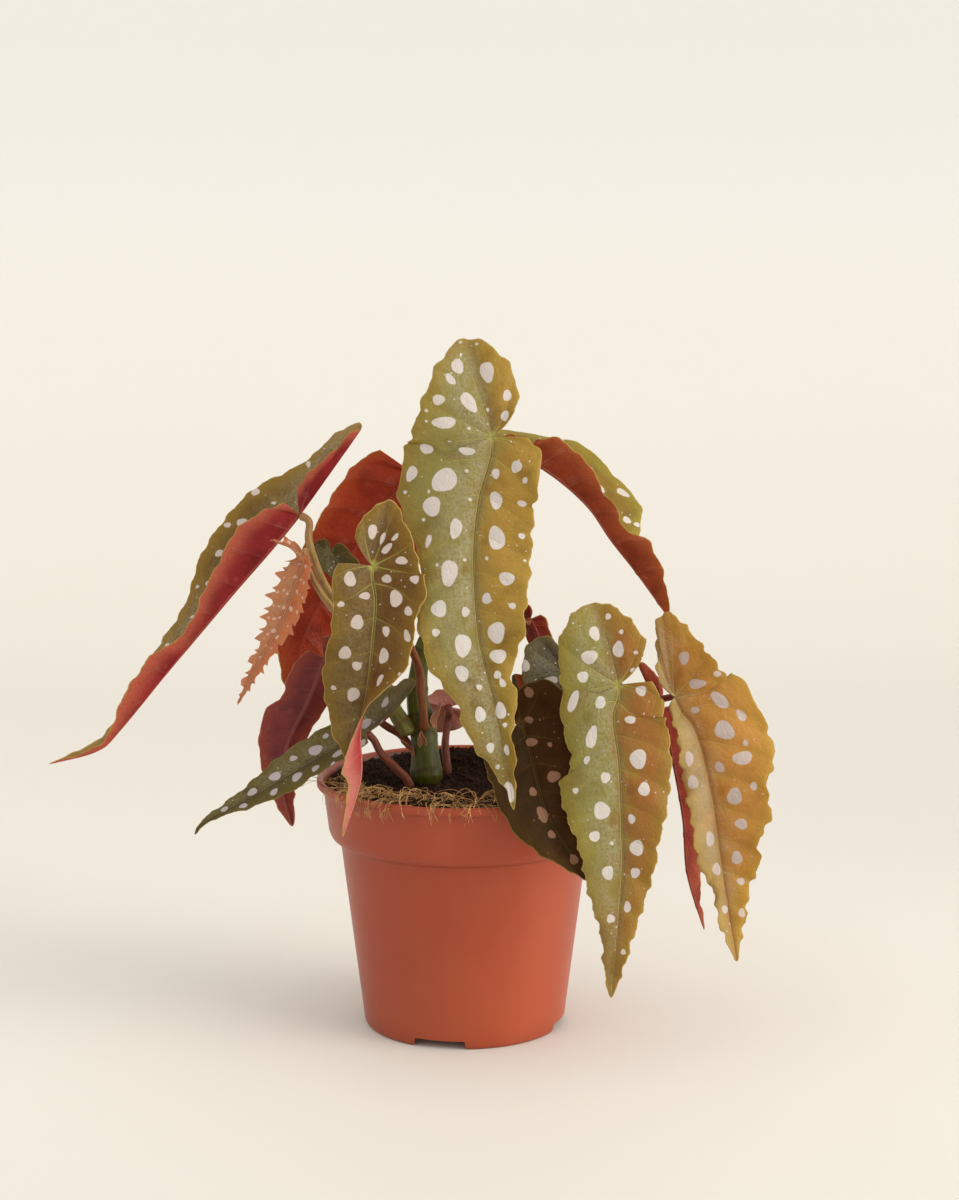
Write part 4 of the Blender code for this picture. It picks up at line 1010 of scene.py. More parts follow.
OUTER_DOTS: Dots = (
    (6.5, -15, 5.5, 4, -23), (10, -3.5, 6.5, 4.5, 80), (18.5, -6.5, 3, 3, -71), (14.5, 11.5, 5.5, 4, 50),
    (4.5, 9.5, 3.5, 2.7, 50), (19, 16.5, 3.5, 3, 70), (11, 19, 8, 6, 70), (17.5, 25, 2.3, 2.3, 28),
    (15, 30, 7.5, 5, 80), (5.5, 31.5, 4.5, 3.5, 8), (-7, 35, 6, 4.5, -9), (-6, 25.5, 6, 3.5, -10),
    (9, 43.5, 6, 6, 9), (17, 41, 3, 3, 18), (10, 54, 5, 4, 80), (-3.5, 58.5, 6, 3.5, -3),
    (6.5, 67, 5, 4.5, 4), (-2.5, 70.5, 5, 3.5, -2), (6.5, 76.5, 3, 3, 4), (-1.5, 86.5, 3.5, 2.6, -1),
    (5, 89, 3.5, 2.7, 2),
)
GREY_DOTS: Dots = (
    (-12.5, -13.5, 5, 5, 43), (-5, 3, 6, 4.5, 100), (0.5, 12, 4, 4, 110), (1.5, 23.5, 3.5, 2.9, 3),
    (-12, -3.5, 1.7, 1.7, 74), (9, 6, 3, 2.4, 49), (-14, 12, 3, 2.6, -42),
)
DARK_DOTS: Dots = (
    (3.5, 0.5, 3.5, 2.4, 60), (1.5, 8.5, 4.5, 3.5, 70), (8, 11.5, 2, 2, 28), (6.5, 23.5, 5, 4.5, 80),
    (-2.5, 27.5, 3.5, 2.9, -4), (-1.5, 36.5, 6, 4, -2), (-2, 44.5, 3.5, 2.7, -2), (0, 57, 4, 3.5, 0),
    (-9, 6, 4, 3, -49), (-11, 18, 3.5, 3, -25), (10, -6, 4, 3, -59), (-3, -10, 4.5, 3, 17),
)
LOW_DOTS: Dots = (
    (-4, -14, 4.5, 3.2, 10), (3.5, -9, 4, 3, -20), (-3, -2, 5, 3.6, 5), (4.5, 3, 3.6, 2.8, 20),
    (-4, 9, 5, 3.6, 0), (3, 14, 5, 3.4, 10), (-3.4, 21, 5.4, 3.8, 0), (4, 25, 3.6, 2.8, 10),
    (-5.2, 30, 3, 2.4, 0), (2.6, 33, 5, 3.4, 8), (-2.8, 40, 5, 3.4, 0), (3.2, 44, 3.6, 2.6, 8),
    (-2, 51, 4.4, 2.8, 0), (2, 57, 3.6, 2.4, 0), (-1, 64, 3.2, 2, 0), (6.5, 18, 2.4, 1.8, 10),
    (-6.6, 15, 2.4, 1.8, 0), (6, 10, 2.2, 1.7, 0),
)


@dataclass(frozen=True)
class Spot:
    """One pale spot: where it lies on the flat blade, how big it is and how it leans.

    Args:
        across: Millimetres across from the midrib.
        along: Millimetres along from the stalk's joint.
        long: Its length.
        wide: Its width.
        lean: Degrees that its long axis leans from the midrib's way towards +across.
    """

    across: float
    along: float
    long: float
    wide: float
    lean: float = 0.0


@dataclass(frozen=True)
class Margin:
    """How the edge of a blade is cut.

    Args:
        scallop: Height of the slow waves in the outline.
        pitch: Length of one such wave.
        tooth: Height of the small teeth.
        tooth_pitch: Length of one tooth.
    """

    scallop: float = 0.6
    pitch: float = 11.0
    tooth: float = 0.10
    tooth_pitch: float = 3.0


@dataclass(frozen=True)
class Blade:
    """One leaf blade: how its midrib runs, how it faces and folds, and how it is cut.

    Args:
        spine: Places that the midrib passes, from the ear over the joint to the tip.
        facing: Which way the upper face looks, at even steps along the midrib.
        outline: The flat outline.
        broad: Half width of the broad side.
        narrow: Half width of the narrow side.
        hand: Which side is the broad one, 1 or -1.
        fold: Degrees that each side rises from the midrib, at even steps along it.
        curl: Degrees more that each side turns by its margin.
        ruffle: Height of the waves near the margin.
        waves: How many of them there are round the blade.
        measured: Whether the outline is in millimetres already.
        eared: Whether the blade has an ear behind the joint.
        thick: Thickness of the blade.
        pitch: Distance between side veins along the midrib.
        fans: Veins that fan out from the joint on the near and the far side.
        margin: How its edge is cut.
        pucker: How much the blade swells between its veins.
        step: Size of the mesh.
    """

    spine: tuple[Point, ...]
    facing: tuple[Point, ...]
    outline: Pairs = WING
    broad: float = 28.0
    narrow: float = 24.0
    hand: int = 1
    fold: Pairs = ((0, 0),)
    curl: Pairs = ((0, 0),)
    ruffle: float = 1.0
    waves: int = 4
    measured: bool = True
    eared: bool = True
    thick: float = 0.55
    pitch: float = 15.0
    fans: tuple[int, int] = (1, 4)
    margin: Margin = Margin()
    pucker: float = 0.75
    step: float = 0.8

    SWEEP = 0.55          # how far a side vein runs forward for each unit that it runs out
    SHARE = 0.35          # how evenly the ribs are spread along the margin

    def laid(self) -> "LaidBlade":
        """Work out the blade's frames and ribs."""
        return LaidBlade(self)


class LaidBlade:
    """A blade with its midrib sampled and its ribs laid out, ready to be meshed."""

    MIDRIB_SAMPLES = 40           # from one place of the midrib to the next
    OUTLINE_SAMPLES = 24          # from one point of the outline to the next
    BOW = (0.52, 0.36)            # where a rib's middle is pulled: share across, share along

    def __init__(self, blade: Blade) -> None:
        """Lay out a blade.

        Args:
            blade: Its shape.
        """
        self.blade = blade
        self._lay_spine()
        self.halves = [self._ribs(edge, veins) for edge, veins in zip(self._edges(), blade.fans)]

    def _lay_spine(self) -> None:
        """Sample the midrib and the frames that ride on it; arc length is zero at the joint."""
        b = self.blade
        path = spline(np.array(b.spine, float), self.MIDRIB_SAMPLES)
        run = arc(path)
        self.ear = run[self.MIDRIB_SAMPLES] if b.eared and len(b.spine) > 2 else 0.0
        self.run = run - self.ear
        self.length = self.run[-1]
        self.path = path
        self.ahead = unit(np.gradient(path, run, axis=0))
        facing = blend(unit(np.array(b.facing, float)), self.share(self.run))
        self.up = unit(facing - self.ahead * np.sum(facing * self.ahead, axis=1, keepdims=True))

    def share(self, along: np.ndarray) -> np.ndarray:
        """How far along the whole blade a place is, 0 at the ear and 1 at the tip."""
        return np.clip((along + self.ear) / (self.length + self.ear), 0.0, 1.0)

    def frame_at(self, along: np.ndarray) -> tuple[np.ndarray, np.ndarray, np.ndarray]:
        """Read the frame that rides on the midrib.

        Args:
            along: Arc lengths from the joint.

        Returns:
            Places, sideways directions and upper normals.
        """
        def read(rows: np.ndarray) -> np.ndarray:
            """Read rows at those arc lengths."""
            return np.stack([np.interp(along, self.run, rows[:, k]) for k in range(3)], axis=-1)
        ahead, up = unit(read(self.ahead)), read(self.up)
        up = unit(up - ahead * np.sum(up * ahead, axis=-1, keepdims=True))
        return read(self.path), np.cross(up, ahead), up

    def _edges(self) -> tuple[np.ndarray, np.ndarray]:
        """Scale the outline to millimetres and split it at the tip.

        Returns:
            Both halves, from the notch to the tip.
        """
        b = self.blade
        pts = np.array(b.outline, float)
        if not b.measured:
            pts[:, 0] *= np.where(pts[:, 0] < 0, b.narrow, b.broad) * b.hand
        top, low = pts[:, 1].max(), max(0.1, -pts[:, 1].min())
        ahead = pts[:, 1] > 0
        pts[:, 1] = np.where(ahead, pts[:, 1] / top * self.length, pts[:, 1] / low * self.ear)
        fine = spline(pts, self.OUTLINE_SAMPLES)
        tip = int(fine[:, 1].argmax())
        return fine[:tip + 1], fine[tip:][::-1]

    def _ribs(self, edge: np.ndarray, veins: int) -> Marks:
        """Ribs of one half: where each leaves the midrib and where it meets the margin.

        Args:
            edge: The half outline, from the notch to the tip.
            veins: Side veins that fan out from the joint.

        Returns:
            One number a rib for its root, its margin point, its place along the margin and
            its place in the row of veins.
        """
        b = self.blade
        run = arc(edge)
        # Ribs that would start behind the joint fan out from it instead.
        swept = edge[:, 1] - b.SWEEP * np.abs(edge[:, 0])
        roots = np.maximum.accumulate(np.minimum(self.length, swept))
        first = max(2, int(np.nonzero(roots <= 0.0)[0].max(initial=2)))
        fan = np.linspace(0.0, run[first], max(5, math.ceil(run[first] / b.step)))
        grow = np.clip(roots[first:], 0.0, self.length) / self.length
        even = (run[first:] - run[first]) / (run[-1] - run[first])
        mixed = (1 - b.SHARE) * grow + b.SHARE * even
        count = math.ceil(self.length / b.step)
        stations = np.arange(1, count) / count
        place = np.concatenate([fan, np.interp(stations, mixed, run[first:])])
        root = np.concatenate([np.zeros(len(fan)), stations * self.length])
        order = np.concatenate([-veins * (1 - fan / fan[-1]) - 0.5,
                                stations * self.length / b.pitch - 0.5])
        # The margin's outward direction, laid flat.
        slope = np.gradient(edge, run, axis=0)
        out = np.stack([slope[:, 1], -slope[:, 0]], axis=1)
        spoke = edge - np.stack([np.zeros(len(edge)), roots], axis=1)
        out *= np.where(np.sum(out * spoke, axis=1, keepdims=True) < 0, -1.0, 1.0)
        read = {"x": edge[:, 0], "y": edge[:, 1], "ox": out[:, 0], "oy": out[:, 1]}
        ribs = {k: np.interp(place, run, v) for k, v in read.items()}
        ribs.update(root=root, order=order, place=place, whole=np.full(len(root), run[-1]),
                    fans=np.array(len(fan)))
        return ribs

    def flat(self, ribs: Marks, t: np.ndarray) -> tuple[np.ndarray, np.ndarray]:
        """Lay ribs flat; each one bows towards the tip.

        Args:
            ribs: The ribs of one half.
            t: Shares of the way out.

        Returns:
            Millimetres across and along: a row for each rib.
        """
        x, y, root = (ribs[k][:, None] for k in ("x", "y", "root"))
        t = t[None, :]
        bow_out, bow_on = self.BOW
        across = 2 * t * (1 - t) * bow_out * x + t * t * x
        along = ((1 - t) ** 2 * root + 2 * t * (1 - t) * (root + bow_on * (y - root))
                 + t * t * y)
        return across, along

    def fray(self, ribs: Marks, phase: float) -> np.ndarray:
        """Cut the margin into slow waves and small teeth.

        Args:
            ribs: The ribs of one half.
            phase: Start of the waves.

        Returns:
            How far the margin stands out from the plain outline, rib by rib.
        """
        m = self.blade.margin
        s = ribs["place"]
        slow = np.sin(2 * math.pi * s / m.pitch + phase)
        slow = slow + 0.5 * np.sin(2 * math.pi * s / (m.pitch * 0.57) + 2 * phase)
        saw = (s / m.tooth_pitch + 0.15 * np.sin(s * 0.7 + phase)) % 1.0
        fade = np.clip((self.length - ribs["y"]) / 10.0, 0.0, 1.0) * np.clip(s / 4.0, 0.0, 1.0)
        return (m.scallop * 0.6 * slow + m.tooth * (saw ** 1.6 * 2 - 1)) * fade

    def _turn(self, stops: Pairs, u: np.ndarray, right: np.ndarray) -> np.ndarray:
        """Read a row of angles that differ from side to side.

        Args:
            stops: Degrees on the left and on the right, at even steps along the blade.
            u: Shares along the blade.
            right: Which places lie on the right.

        Returns:
            The angles in radians.
        """
        read = blend(np.array(stops, float), u.ravel())
        return np.radians(np.where(right, *(read[:, k].reshape(u.shape) for k in (1, 0))))

    def bend(self, across: np.ndarray, along: np.ndarray) -> tuple[np.ndarray, np.ndarray]:
        """Fold and curl flat places into the air.

        Args:
            across: Millimetres across.
            along: Millimetres along.

        Returns:
            The places, and the upper normal of the midrib there.
        """
        b = self.blade
        place, side, up = self.frame_at(along)
        u = self.share(along)
        right = across > 0
        fold, curl = (self._turn(stops, u, right) for stops in (b.fold, b.curl))
        width = np.where(across * b.hand > 0, b.broad, b.narrow)
        x = np.abs(across)
        rate = curl / width
        rate = np.where(np.abs(rate) < 1e-5, 1e-5, rate)
        out = (np.sin(fold + rate * x) - np.sin(fold)) / rate
        lift = (np.cos(fold) - np.cos(fold + rate * x)) / rate
        return place + side * (np.sign(across) * out)[..., None] + up * lift[..., None], up


class Sheet:
    """The middle surface of a blade, before it has a thickness."""

    NAMES = ("across", "along", "rim", "out", "vein", "gap", "lift")
    DOME = 2.8            # how fast the blade swells away from a side vein
    CALM = 6.0            # how near to the midrib it starts to swell
    FADE = 12.0           # how near to the tip its waves die down

    def __init__(self, laid: LaidBlade, seed: int) -> None:
        """Mesh a blade.

        Args:
            laid: The blade.
            seed: Start of the margin's random numbers.
        """
        self.laid = laid
        self.seed = seed
        self.count = 0
        self.parts: list[np.ndarray] = []
        self.rows: dict[str, list[np.ndarray]] = {name: [] for name in self.NAMES}
        rng = random.Random(seed + 3)
        stations = self._midrib()
        halves = [self._half(side, ribs, stations, rng.uniform(0, 6))
                  for side, ribs in enumerate(laid.halves)]
        tip = self._add(laid.path[-1:], along=laid.length, out=1.0, gap=1.0,
                        vein=laid.length / laid.blade.pitch - 0.5)
        self.places = np.vstack(self.parts)
        self.marks = {name: np.concatenate(rows) for name, rows in self.rows.items()}
        self.faces = self._faces(halves, tip)
        self.ring, self.inner = self._edge(*halves, tip)

    def _add(self, places: np.ndarray, **marks: object) -> int:
        """Add vertices with their marks; a mark that is left out is zero.

        Args:
            places: Their places.
            marks: One number for all of them or one for each, by name.

        Returns:
            The number of the first one.
        """
        first = self.count
        self.parts.append(places)
        for name, rows in self.rows.items():
            rows.append(np.broadcast_to(np.ravel(marks.get(name, 0.0)), len(places)))
        self.count += len(places)
        return first

    def _midrib(self) -> int:
        """Lay the joint and the midrib.

        Returns:
            How many vertices lie along the midrib.
        """
        laid, pitch = self.laid, self.laid.blade.pitch
        self._add(laid.bend(np.zeros(1), np.zeros(1))[0], vein=0.5, rim=4.0)
        near = laid.halves[0]
        roots = near["root"][int(near["fans"]):]
        self._add(laid.bend(np.zeros(len(roots)), roots)[0], along=roots, vein=roots / pitch - 0.5,
                  rim=np.minimum(12.0, laid.length - roots), gap=pitch)
        return len(roots)

    def _half(self, side: int, ribs: Marks, stations: int, phase: float) -> np.ndarray:
        """Mesh one half of the blade.

        Args:
            side: 0 for the half that the outline starts with, 1 for the other one.
            ribs: Its ribs.
            stations: How many vertices lie along the midrib.
            phase: Start of the waves in its margin.

        Returns:
            Numbers of its vertices: a row for each rib, from the midrib to the margin.
        """
        laid, b = self.laid, self.laid.blade
        reach = np.hypot(ribs["x"], ribs["y"] - ribs["root"])
        columns = max(6, math.ceil(np.percentile(reach, 90) / b.step))
        t = np.arange(1, columns + 1) / columns
        across, along = laid.flat(ribs, t)
        # The cut of the margin, which fades towards the midrib.
        cut = laid.fray(ribs, phase)[:, None] * t[None, :] ** 5
        across = across + ribs["ox"][:, None] * cut
        along = along + ribs["oy"][:, None] * cut
        place, up = laid.bend(across, along)
        order = np.repeat(ribs["order"][:, None], columns, axis=1)
        gap = self._gap(place, order)
        off = np.abs((order + 0.5) % 1.0 - 0.5) * gap
        swell = (b.pucker * (1 - np.exp(-(off / self.DOME) ** 2)) * (1 - t ** 6)
                 * np.minimum(1.0, np.abs(across) / self.CALM))
        fade = np.clip((laid.length - along) / self.FADE, 0.0, 1.0)
        lift = self._ruffle(side, ribs, t) * fade + swell
        first = self._add((place + up * lift[..., None]).reshape(-1, 3), across=across, along=along,
                          rim=(1 - t)[None, :] * reach[:, None],
                          out=np.repeat(t[None, :], len(reach), axis=0),
                          vein=order, gap=gap, lift=off)
        spine = np.concatenate([np.zeros(int(ribs["fans"]), int), np.arange(1, stations + 1)])
        return np.hstack([spine[:, None], first + np.arange(across.size).reshape(across.shape)])

    def _gap(self, place: np.ndarray, order: np.ndarray) -> np.ndarray:
        """Millimetres between side veins.

        Args:
            place: Places of one half's vertices.
            order: Their place in the row of veins.

        Returns:
            The distance from one vein to the next, at each vertex.
        """
        out_way, row_way = np.gradient(place, axis=1), np.gradient(place, axis=0)
        spacing = np.abs(np.gradient(order, axis=0))
        apart = np.linalg.norm(np.cross(out_way, row_way), axis=2)
        apart = apart / np.maximum(1e-6, np.linalg.norm(out_way, axis=2))
        return np.clip(apart / np.maximum(spacing, 1e-6), 0.05, 30.0)

    def _ruffle(self, side: int, ribs: Marks, t: np.ndarray) -> np.ndarray:
        """Height of the waves near the margin.

        Args:
            side: 0 for the half that the outline starts with, 1 for the other one.
            ribs: Its ribs.
            t: Shares of the way out along them.

        Returns:
            The heights: a row for each rib.
        """
        b = self.laid.blade
        turn = ribs["place"] / ribs["whole"] * 0.5
        turn = (turn if side == 0 else 1 - turn)[:, None]
        return b.ruffle * (t ** 2 * np.sin(2 * math.pi * b.waves * turn)
                           + 0.35 * t ** 3 * np.sin(2 * math.pi * b.waves * 2.7 * turn + self.seed))

    def _faces(self, halves: list[np.ndarray], tip: int) -> Faces:
        """Faces of both halves, wound for the upper side.

        Args:
            halves: Numbers of each half's vertices.
            tip: Number of the tip's vertex.

        Returns:
            The faces; by the joint some of them are triangles.
        """
        up = self.laid.frame_at(self.marks["along"])[2]
        made: Faces = []
        for grid in halves:
            corners = np.stack([grid[:-1, :-1], grid[1:, :-1], grid[1:, 1:], grid[:-1, 1:]], axis=-1)
            faces = [tuple(dict.fromkeys(quad)) for quad in corners.reshape(-1, 4).tolist()]
            end = grid[-1].tolist()
            faces += [(a, tip, b) for a, b in zip(end, end[1:])]
            # A half that faces down is turned over as a whole.
            sample = np.array([face[:3] for face in faces])
            normals = face_normals(self.places, sample)
            down = np.sum(normals * up[sample[:, 0]]) < 0
            made += [face[::-1] for face in faces] if down else faces
        return made

    def _edge(self, near: np.ndarray, far: np.ndarray, tip: int) -> tuple[list[int], list[int]]:
        """Go round the margin.

        Args:
            near: Numbers of the first half's vertices.
            far: Numbers of the other half's.
            tip: Number of the tip's vertex.

        Returns:
            Numbers of the margin's vertices, and of the one just inside each of them.
        """
        ring = [*near[0], *near[1:, -1], tip, *far[::-1, -1], *far[0, -2:0:-1]]
        inner = [near[1, 1], *near[1, 1:], *near[1:, -2], near[-1, 0], *far[::-1, -2],
                 *far[1, -2:0:-1]]
        return [int(v) for v in ring], [int(v) for v in inner]

    def rim_faces(self) -> Faces:
        """Two bands of faces round the margin.

        Returns:
            Faces between the upper side, the lip and the underside, which are counted in that
            order: as many vertices as the sheet has for each side, then the lip's.
        """
        count, n = len(self.places), len(self.ring)
        edges = {(face[i - 1], face[i]) for face in self.faces for i in range(len(face))}
        forward = (self.ring[3], self.ring[4]) in edges
        made: Faces = []
        for i, a in enumerate(self.ring):
            b = self.ring[(i + 1) % n]
            lip_a, lip_b = 2 * count + i, 2 * count + (i + 1) % n
            upper, lower = (b, a, lip_a, lip_b), (lip_b, lip_a, a + count, b + count)
            made += [upper, lower] if forward else [upper[::-1], lower[::-1]]
        return made


@dataclass
class Leaf:
    """A finished blade with its spots and its three finishes.

    Args:
        name: The piece's name, after "blade_".
        blade: Its shape.
        finish: Its colours.
        slot: The record's slot.
        dots: Spots given one by one; where there are none they follow the rule.
        seed: Start of the rule's and the margin's random numbers.
        density: How many of the rule's spots are kept.
        size: How large the rule's spots are.
    """

    name: str
    blade: Blade
    finish: LeafFinish
    slot: Slot = Slot.OLIVE
    dots: Dots = ()
    seed: int = 1
    density: float = 0.8
    size: float = 1.0

    LIP = 0.10                            # how far the rim stands out between the two sides
    ROWS = (0.24, 0.50, 0.74, 0.90)       # how far out the rule's spots lie
    LARGEST, SMALLEST = 8.5, 1.1          # how long they may be
    APART = 0.62                          # how far apart they stay, in shares of their lengths

    @property
    def node(self) -> str:
        """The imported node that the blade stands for."""
        return self.name if self.name.startswith("stipule") else "leaf_" + self.name

    def rule_spots(self, laid: LaidBlade) -> list[Spot]:
        """Spots between the side veins: large ones near the midrib, small ones by the margin.

        Args:
            laid: The blade.

        Returns:
            The spots.
        """
        rng = random.Random(self.seed)
        found = []
        for ribs in laid.halves:
            order = ribs["order"]
            for cell in range(math.ceil(order[0]), math.floor(order[-1]) + 1):
                for out in self.ROWS:
                    keep = rng.random() < self.density
                    j = int(np.argmin(np.abs(order - cell + rng.uniform(-0.16, 0.16))))
                    t = np.array([out + rng.uniform(-0.06, 0.06)])
                    x, y = (float(a[j, 0]) for a in laid.flat(ribs, t))
                    span = math.hypot(ribs["x"][j], ribs["y"][j] - ribs["root"][j])
                    beside = int(np.argmin(np.abs(order - cell - 0.5)))
                    x2, y2 = (float(a[beside, 0]) for a in laid.flat(ribs, t))
                    room = 2 * math.hypot(x - x2, y - y2)
                    long = min(0.24 * span, 0.50 * room, self.LARGEST) * (1.1 - 0.6 * out)
                    long = long * rng.uniform(0.6, 1.15) * self.size
                    lean = math.degrees(math.atan2(ribs["x"][j], ribs["y"][j] - ribs["root"][j]))
                    clear = all(math.hypot(x - s.across, y - s.along) > self.APART * (long + s.long)
                                for s in found)
                    if keep and clear and long > self.SMALLEST:
                        found.append(Spot(x, y, long, long * rng.uniform(0.55, 0.9), lean * 0.7))
        return found

    def spot_field(self, across: np.ndarray, along: np.ndarray, spots: list[Spot]) -> np.ndarray:
        """Measure how far inside a spot each place is.

        Args:
            across: Millimetres across.
            along: Millimetres along.
            spots: The spots.

        Returns:
            Millimetres inside the nearest spot, below zero outside every spot.
        """
        best = np.full(across.shape, -9.0)
        rng = random.Random(self.seed + 7)
        for s in spots:
            a = math.radians(s.lean)
            dx, dy = across - s.across, along - s.along
            v = (dx * math.sin(a) + dy * math.cos(a)) / (s.long / 2)
            u = (dx * math.cos(a) - dy * math.sin(a)) / (s.wide / 2)
            angle = np.arctan2(v, u)
            wobble = 1.0 + 0.07 * np.sin(3 * angle + rng.uniform(0, 6))
            wobble = wobble + 0.05 * np.sin(2 * angle + rng.uniform(0, 6))
            inside = (wobble - np.hypot(u, v)) * min(s.long, s.wide) / 2
            best = np.maximum(best, inside)
        return best

    def shell(self, laid: LaidBlade) -> Shell:
        """Give the middle surface its thickness, its sunken veins above and raised veins below.

        Args:
            laid: The blade.

        Returns:
            The closed blade: faces of the upper side, of the underside and of the rim.
        """
        sheet = Sheet(laid, self.seed)
        places, faces, marks = sheet.places, sheet.faces, sheet.marks
        normal = vertex_normals(places, faces)
        taper = np.clip(marks["rim"] / 1.2, 0.35, 1.0)
        half = laid.blade.thick / 2 * taper
        thin = 1 - marks["out"] * 0.7
        ridge = np.exp(-(marks["lift"] / 0.75) ** 2) * thin * (marks["across"] != 0)
        ahead = (marks["along"] > 0) * (1 - marks["along"] / laid.length)
        rib = np.clip(np.exp(-(marks["across"] / 1.0) ** 2) * ahead, 0.0, 1.0) * taper
        top = places + normal * (half - 0.12 * ridge - 0.28 * rib)[:, None]
        low = places - normal * (half + 0.20 * ridge + 0.45 * rib)[:, None]
        loop, inner = np.array(sheet.ring), np.array(sheet.inner)
        lip = places[loop] + unit(places[loop] - places[inner]) * self.LIP
        under = [tuple(v + len(places) for v in reversed(face)) for face in faces]
        rim = sheet.rim_faces()
        finish = [0] * len(faces) + [1] * len(faces) + [2] * len(rim)
        spots = [Spot(*dot) for dot in self.dots] or self.rule_spots(laid)
        marks["spot"] = self.spot_field(marks["across"], marks["along"], spots)
        kept = {k: np.concatenate([v, v, v[loop]]) for k, v in marks.items() if k != "lift"}
        return Shell(np.vstack([top, low, lip]), faces + under + rim, finish, kept)

    def build(self, site: Site) -> Piece:
        """Make the blade, hang it on the root and hide the imported node that it stands for.

        Args:
            site: Where the pot stands.

        Returns:
            The piece.
        """
        laid = self.blade.laid()
        finishes = [self.finish.upper(self.name + " upper"),
                    self.finish.underside(self.name + " underside"),
                    self.finish.rim(self.name + " rim")]
        piece = self.shell(laid).piece("blade_" + self.name, site, finishes)
        hand_in(piece, self.slot, self.node)
        return piece


# ------------------------------------------------------------------ canes and leaf stalks
@dataclass
class Tube:
    """A round stem swept along a path.

    Args:
        path: Its axis.
        radii: Its radius at each place of the axis.
        joints: Where it is ringed, in millimetres along it.
        sides: Faces round it.
        ridge: How far it is out of round.
        seed: Start of its wander.
    """

    path: np.ndarray
    radii: np.ndarray
    joints: tuple[float, ...] = ()
    sides: int = 18
    ridge: float = 0.03
    seed: int = 0

    def shell(self) -> Shell:
        """Sweep the stem, close it with two rounded ends and mark it for its finish.

        Returns:
            The closed stem.
        """
        run = arc(self.path)
        ahead = unit(np.gradient(self.path, run, axis=0))
        side = np.zeros_like(ahead)
        side[0] = unit(np.cross(ahead[0], [0.31, -0.9, 0.3]))
        for i in range(1, len(ahead)):
            side[i] = unit(side[i - 1] - ahead[i] * np.dot(side[i - 1], ahead[i]))
        over = np.cross(ahead, side)
        joint = np.zeros(len(run))
        swell = np.zeros(len(run))
        for j in self.joints:
            joint = np.maximum(joint, np.exp(-((run - j) / 0.9) ** 2))
            ring, groove = np.exp(-((run - j) / 1.2) ** 2), np.exp(-((run - j - 1.5) / 0.5) ** 2)
            swell += 0.20 * ring - 0.10 * groove
            swell += 0.32 * np.exp(-((run - j) / 4.5) ** 2)
        turn = np.arange(self.sides) / self.sides * 2 * math.pi
        s, a = run[:, None], turn[None, :]
        wave = np.sin(3 * a + 0.05 * s + self.seed) + 0.6 * np.sin(5 * a - 0.11 * s + 2 * self.seed)
        wave += 0.8 * np.sin(2 * a + 0.21 * s)
        radius = self.radii[:, None] * (1 + self.ridge * wave) + swell[:, None]
        ends = np.minimum(run, run[-1] - run)
        near_end = np.clip(ends / (0.6 * self.radii), 0.0, 1.0)
        cap = np.minimum(1.0, np.sqrt(near_end * 0.93 + 0.07))
        radius *= cap[:, None]
        ring = side[:, None, :] * np.cos(a)[..., None] + over[:, None, :] * np.sin(a)[..., None]
        verts = self.path[:, None, :] + ring * radius[..., None]
        rows, n = len(run), self.sides
        ids = np.arange(rows * n).reshape(rows, n)
        faces = bands(ids) + disc(ids.size, ids[0], True) + disc(ids.size + 1, ids[-1])
        places = np.vstack([verts.reshape(-1, 3), self.path[:1], self.path[-1:]])
        flat = {"run": run / run[-1], "run_mm": run, "joint": joint}
        marks = {k: np.concatenate([np.repeat(v, n), v[:1], v[-1:]]) for k, v in flat.items()}
        mean = float(np.mean(self.radii))
        marks["ring_x"] = np.concatenate([np.tile(np.cos(turn) * mean, rows), [0.0, 0.0]])
        marks["ring_y"] = np.concatenate([np.tile(np.sin(turn) * mean, rows), [0.0, 0.0]])
        return Shell(places, faces, [], marks)


@dataclass(frozen=True)
class Cane:
    """A jointed cane.

    Args:
        points: Places that it passes.
        radii: Its radius at them.
        finish: Its skin.
        joints: Where it is ringed, as shares of its length.
    """

    points: tuple[Point, ...]
    radii: tuple[float, ...]
    finish: StemFinish
    joints: tuple[float, ...]

    SAMPLES = 24          # from one place to the next
    SIDES = 28
    RIDGE = 0.022

    def run(self, pieces: int) -> tuple[np.ndarray, np.ndarray]:
        """Axis and radii; the first piece is straight.

        Args:
            pieces: Samples from one point to the next.

        Returns:
            Places and radii.
        """
        path = spline(np.array(self.points[1:], float), pieces)
        radii = spline(np.array(self.radii[1:], float)[:, None], pieces)[:, 0]
        return np.vstack([self.points[:1], path]), np.concatenate([self.radii[:1], radii])

    def at(self, share: float) -> tuple[np.ndarray, np.ndarray, float]:
        """Read the cane at a share of its coarse run.

        Args:
            share: 0 at its foot, 1 at its end.

        Returns:
            Place on the axis, direction and radius.
        """
        path, radii = self.run(2)
        x = share * (len(path) - 1)
        i = min(len(path) - 2, int(x))
        t = x - i
        return (path[i] * (1 - t) + path[i + 1] * t, unit(path[i + 1] - path[i]),
                float(radii[i] * (1 - t) + radii[i + 1] * t))

    def build(self, name: str, site: Site, seed: int) -> Piece:
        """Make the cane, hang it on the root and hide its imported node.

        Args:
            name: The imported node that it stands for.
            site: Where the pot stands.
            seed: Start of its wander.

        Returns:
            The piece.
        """
        path, radii = self.run(self.SAMPLES)
        length = arc(path)[-1]
        joints = tuple(j * length for j in self.joints)
        tube = Tube(path, radii, joints, self.SIDES, self.RIDGE, seed)
        piece = tube.shell().piece("skin_" + name, site, [self.finish.build(name + " skin")])
        hand_in(piece, Slot.CANE, name)
        return piece


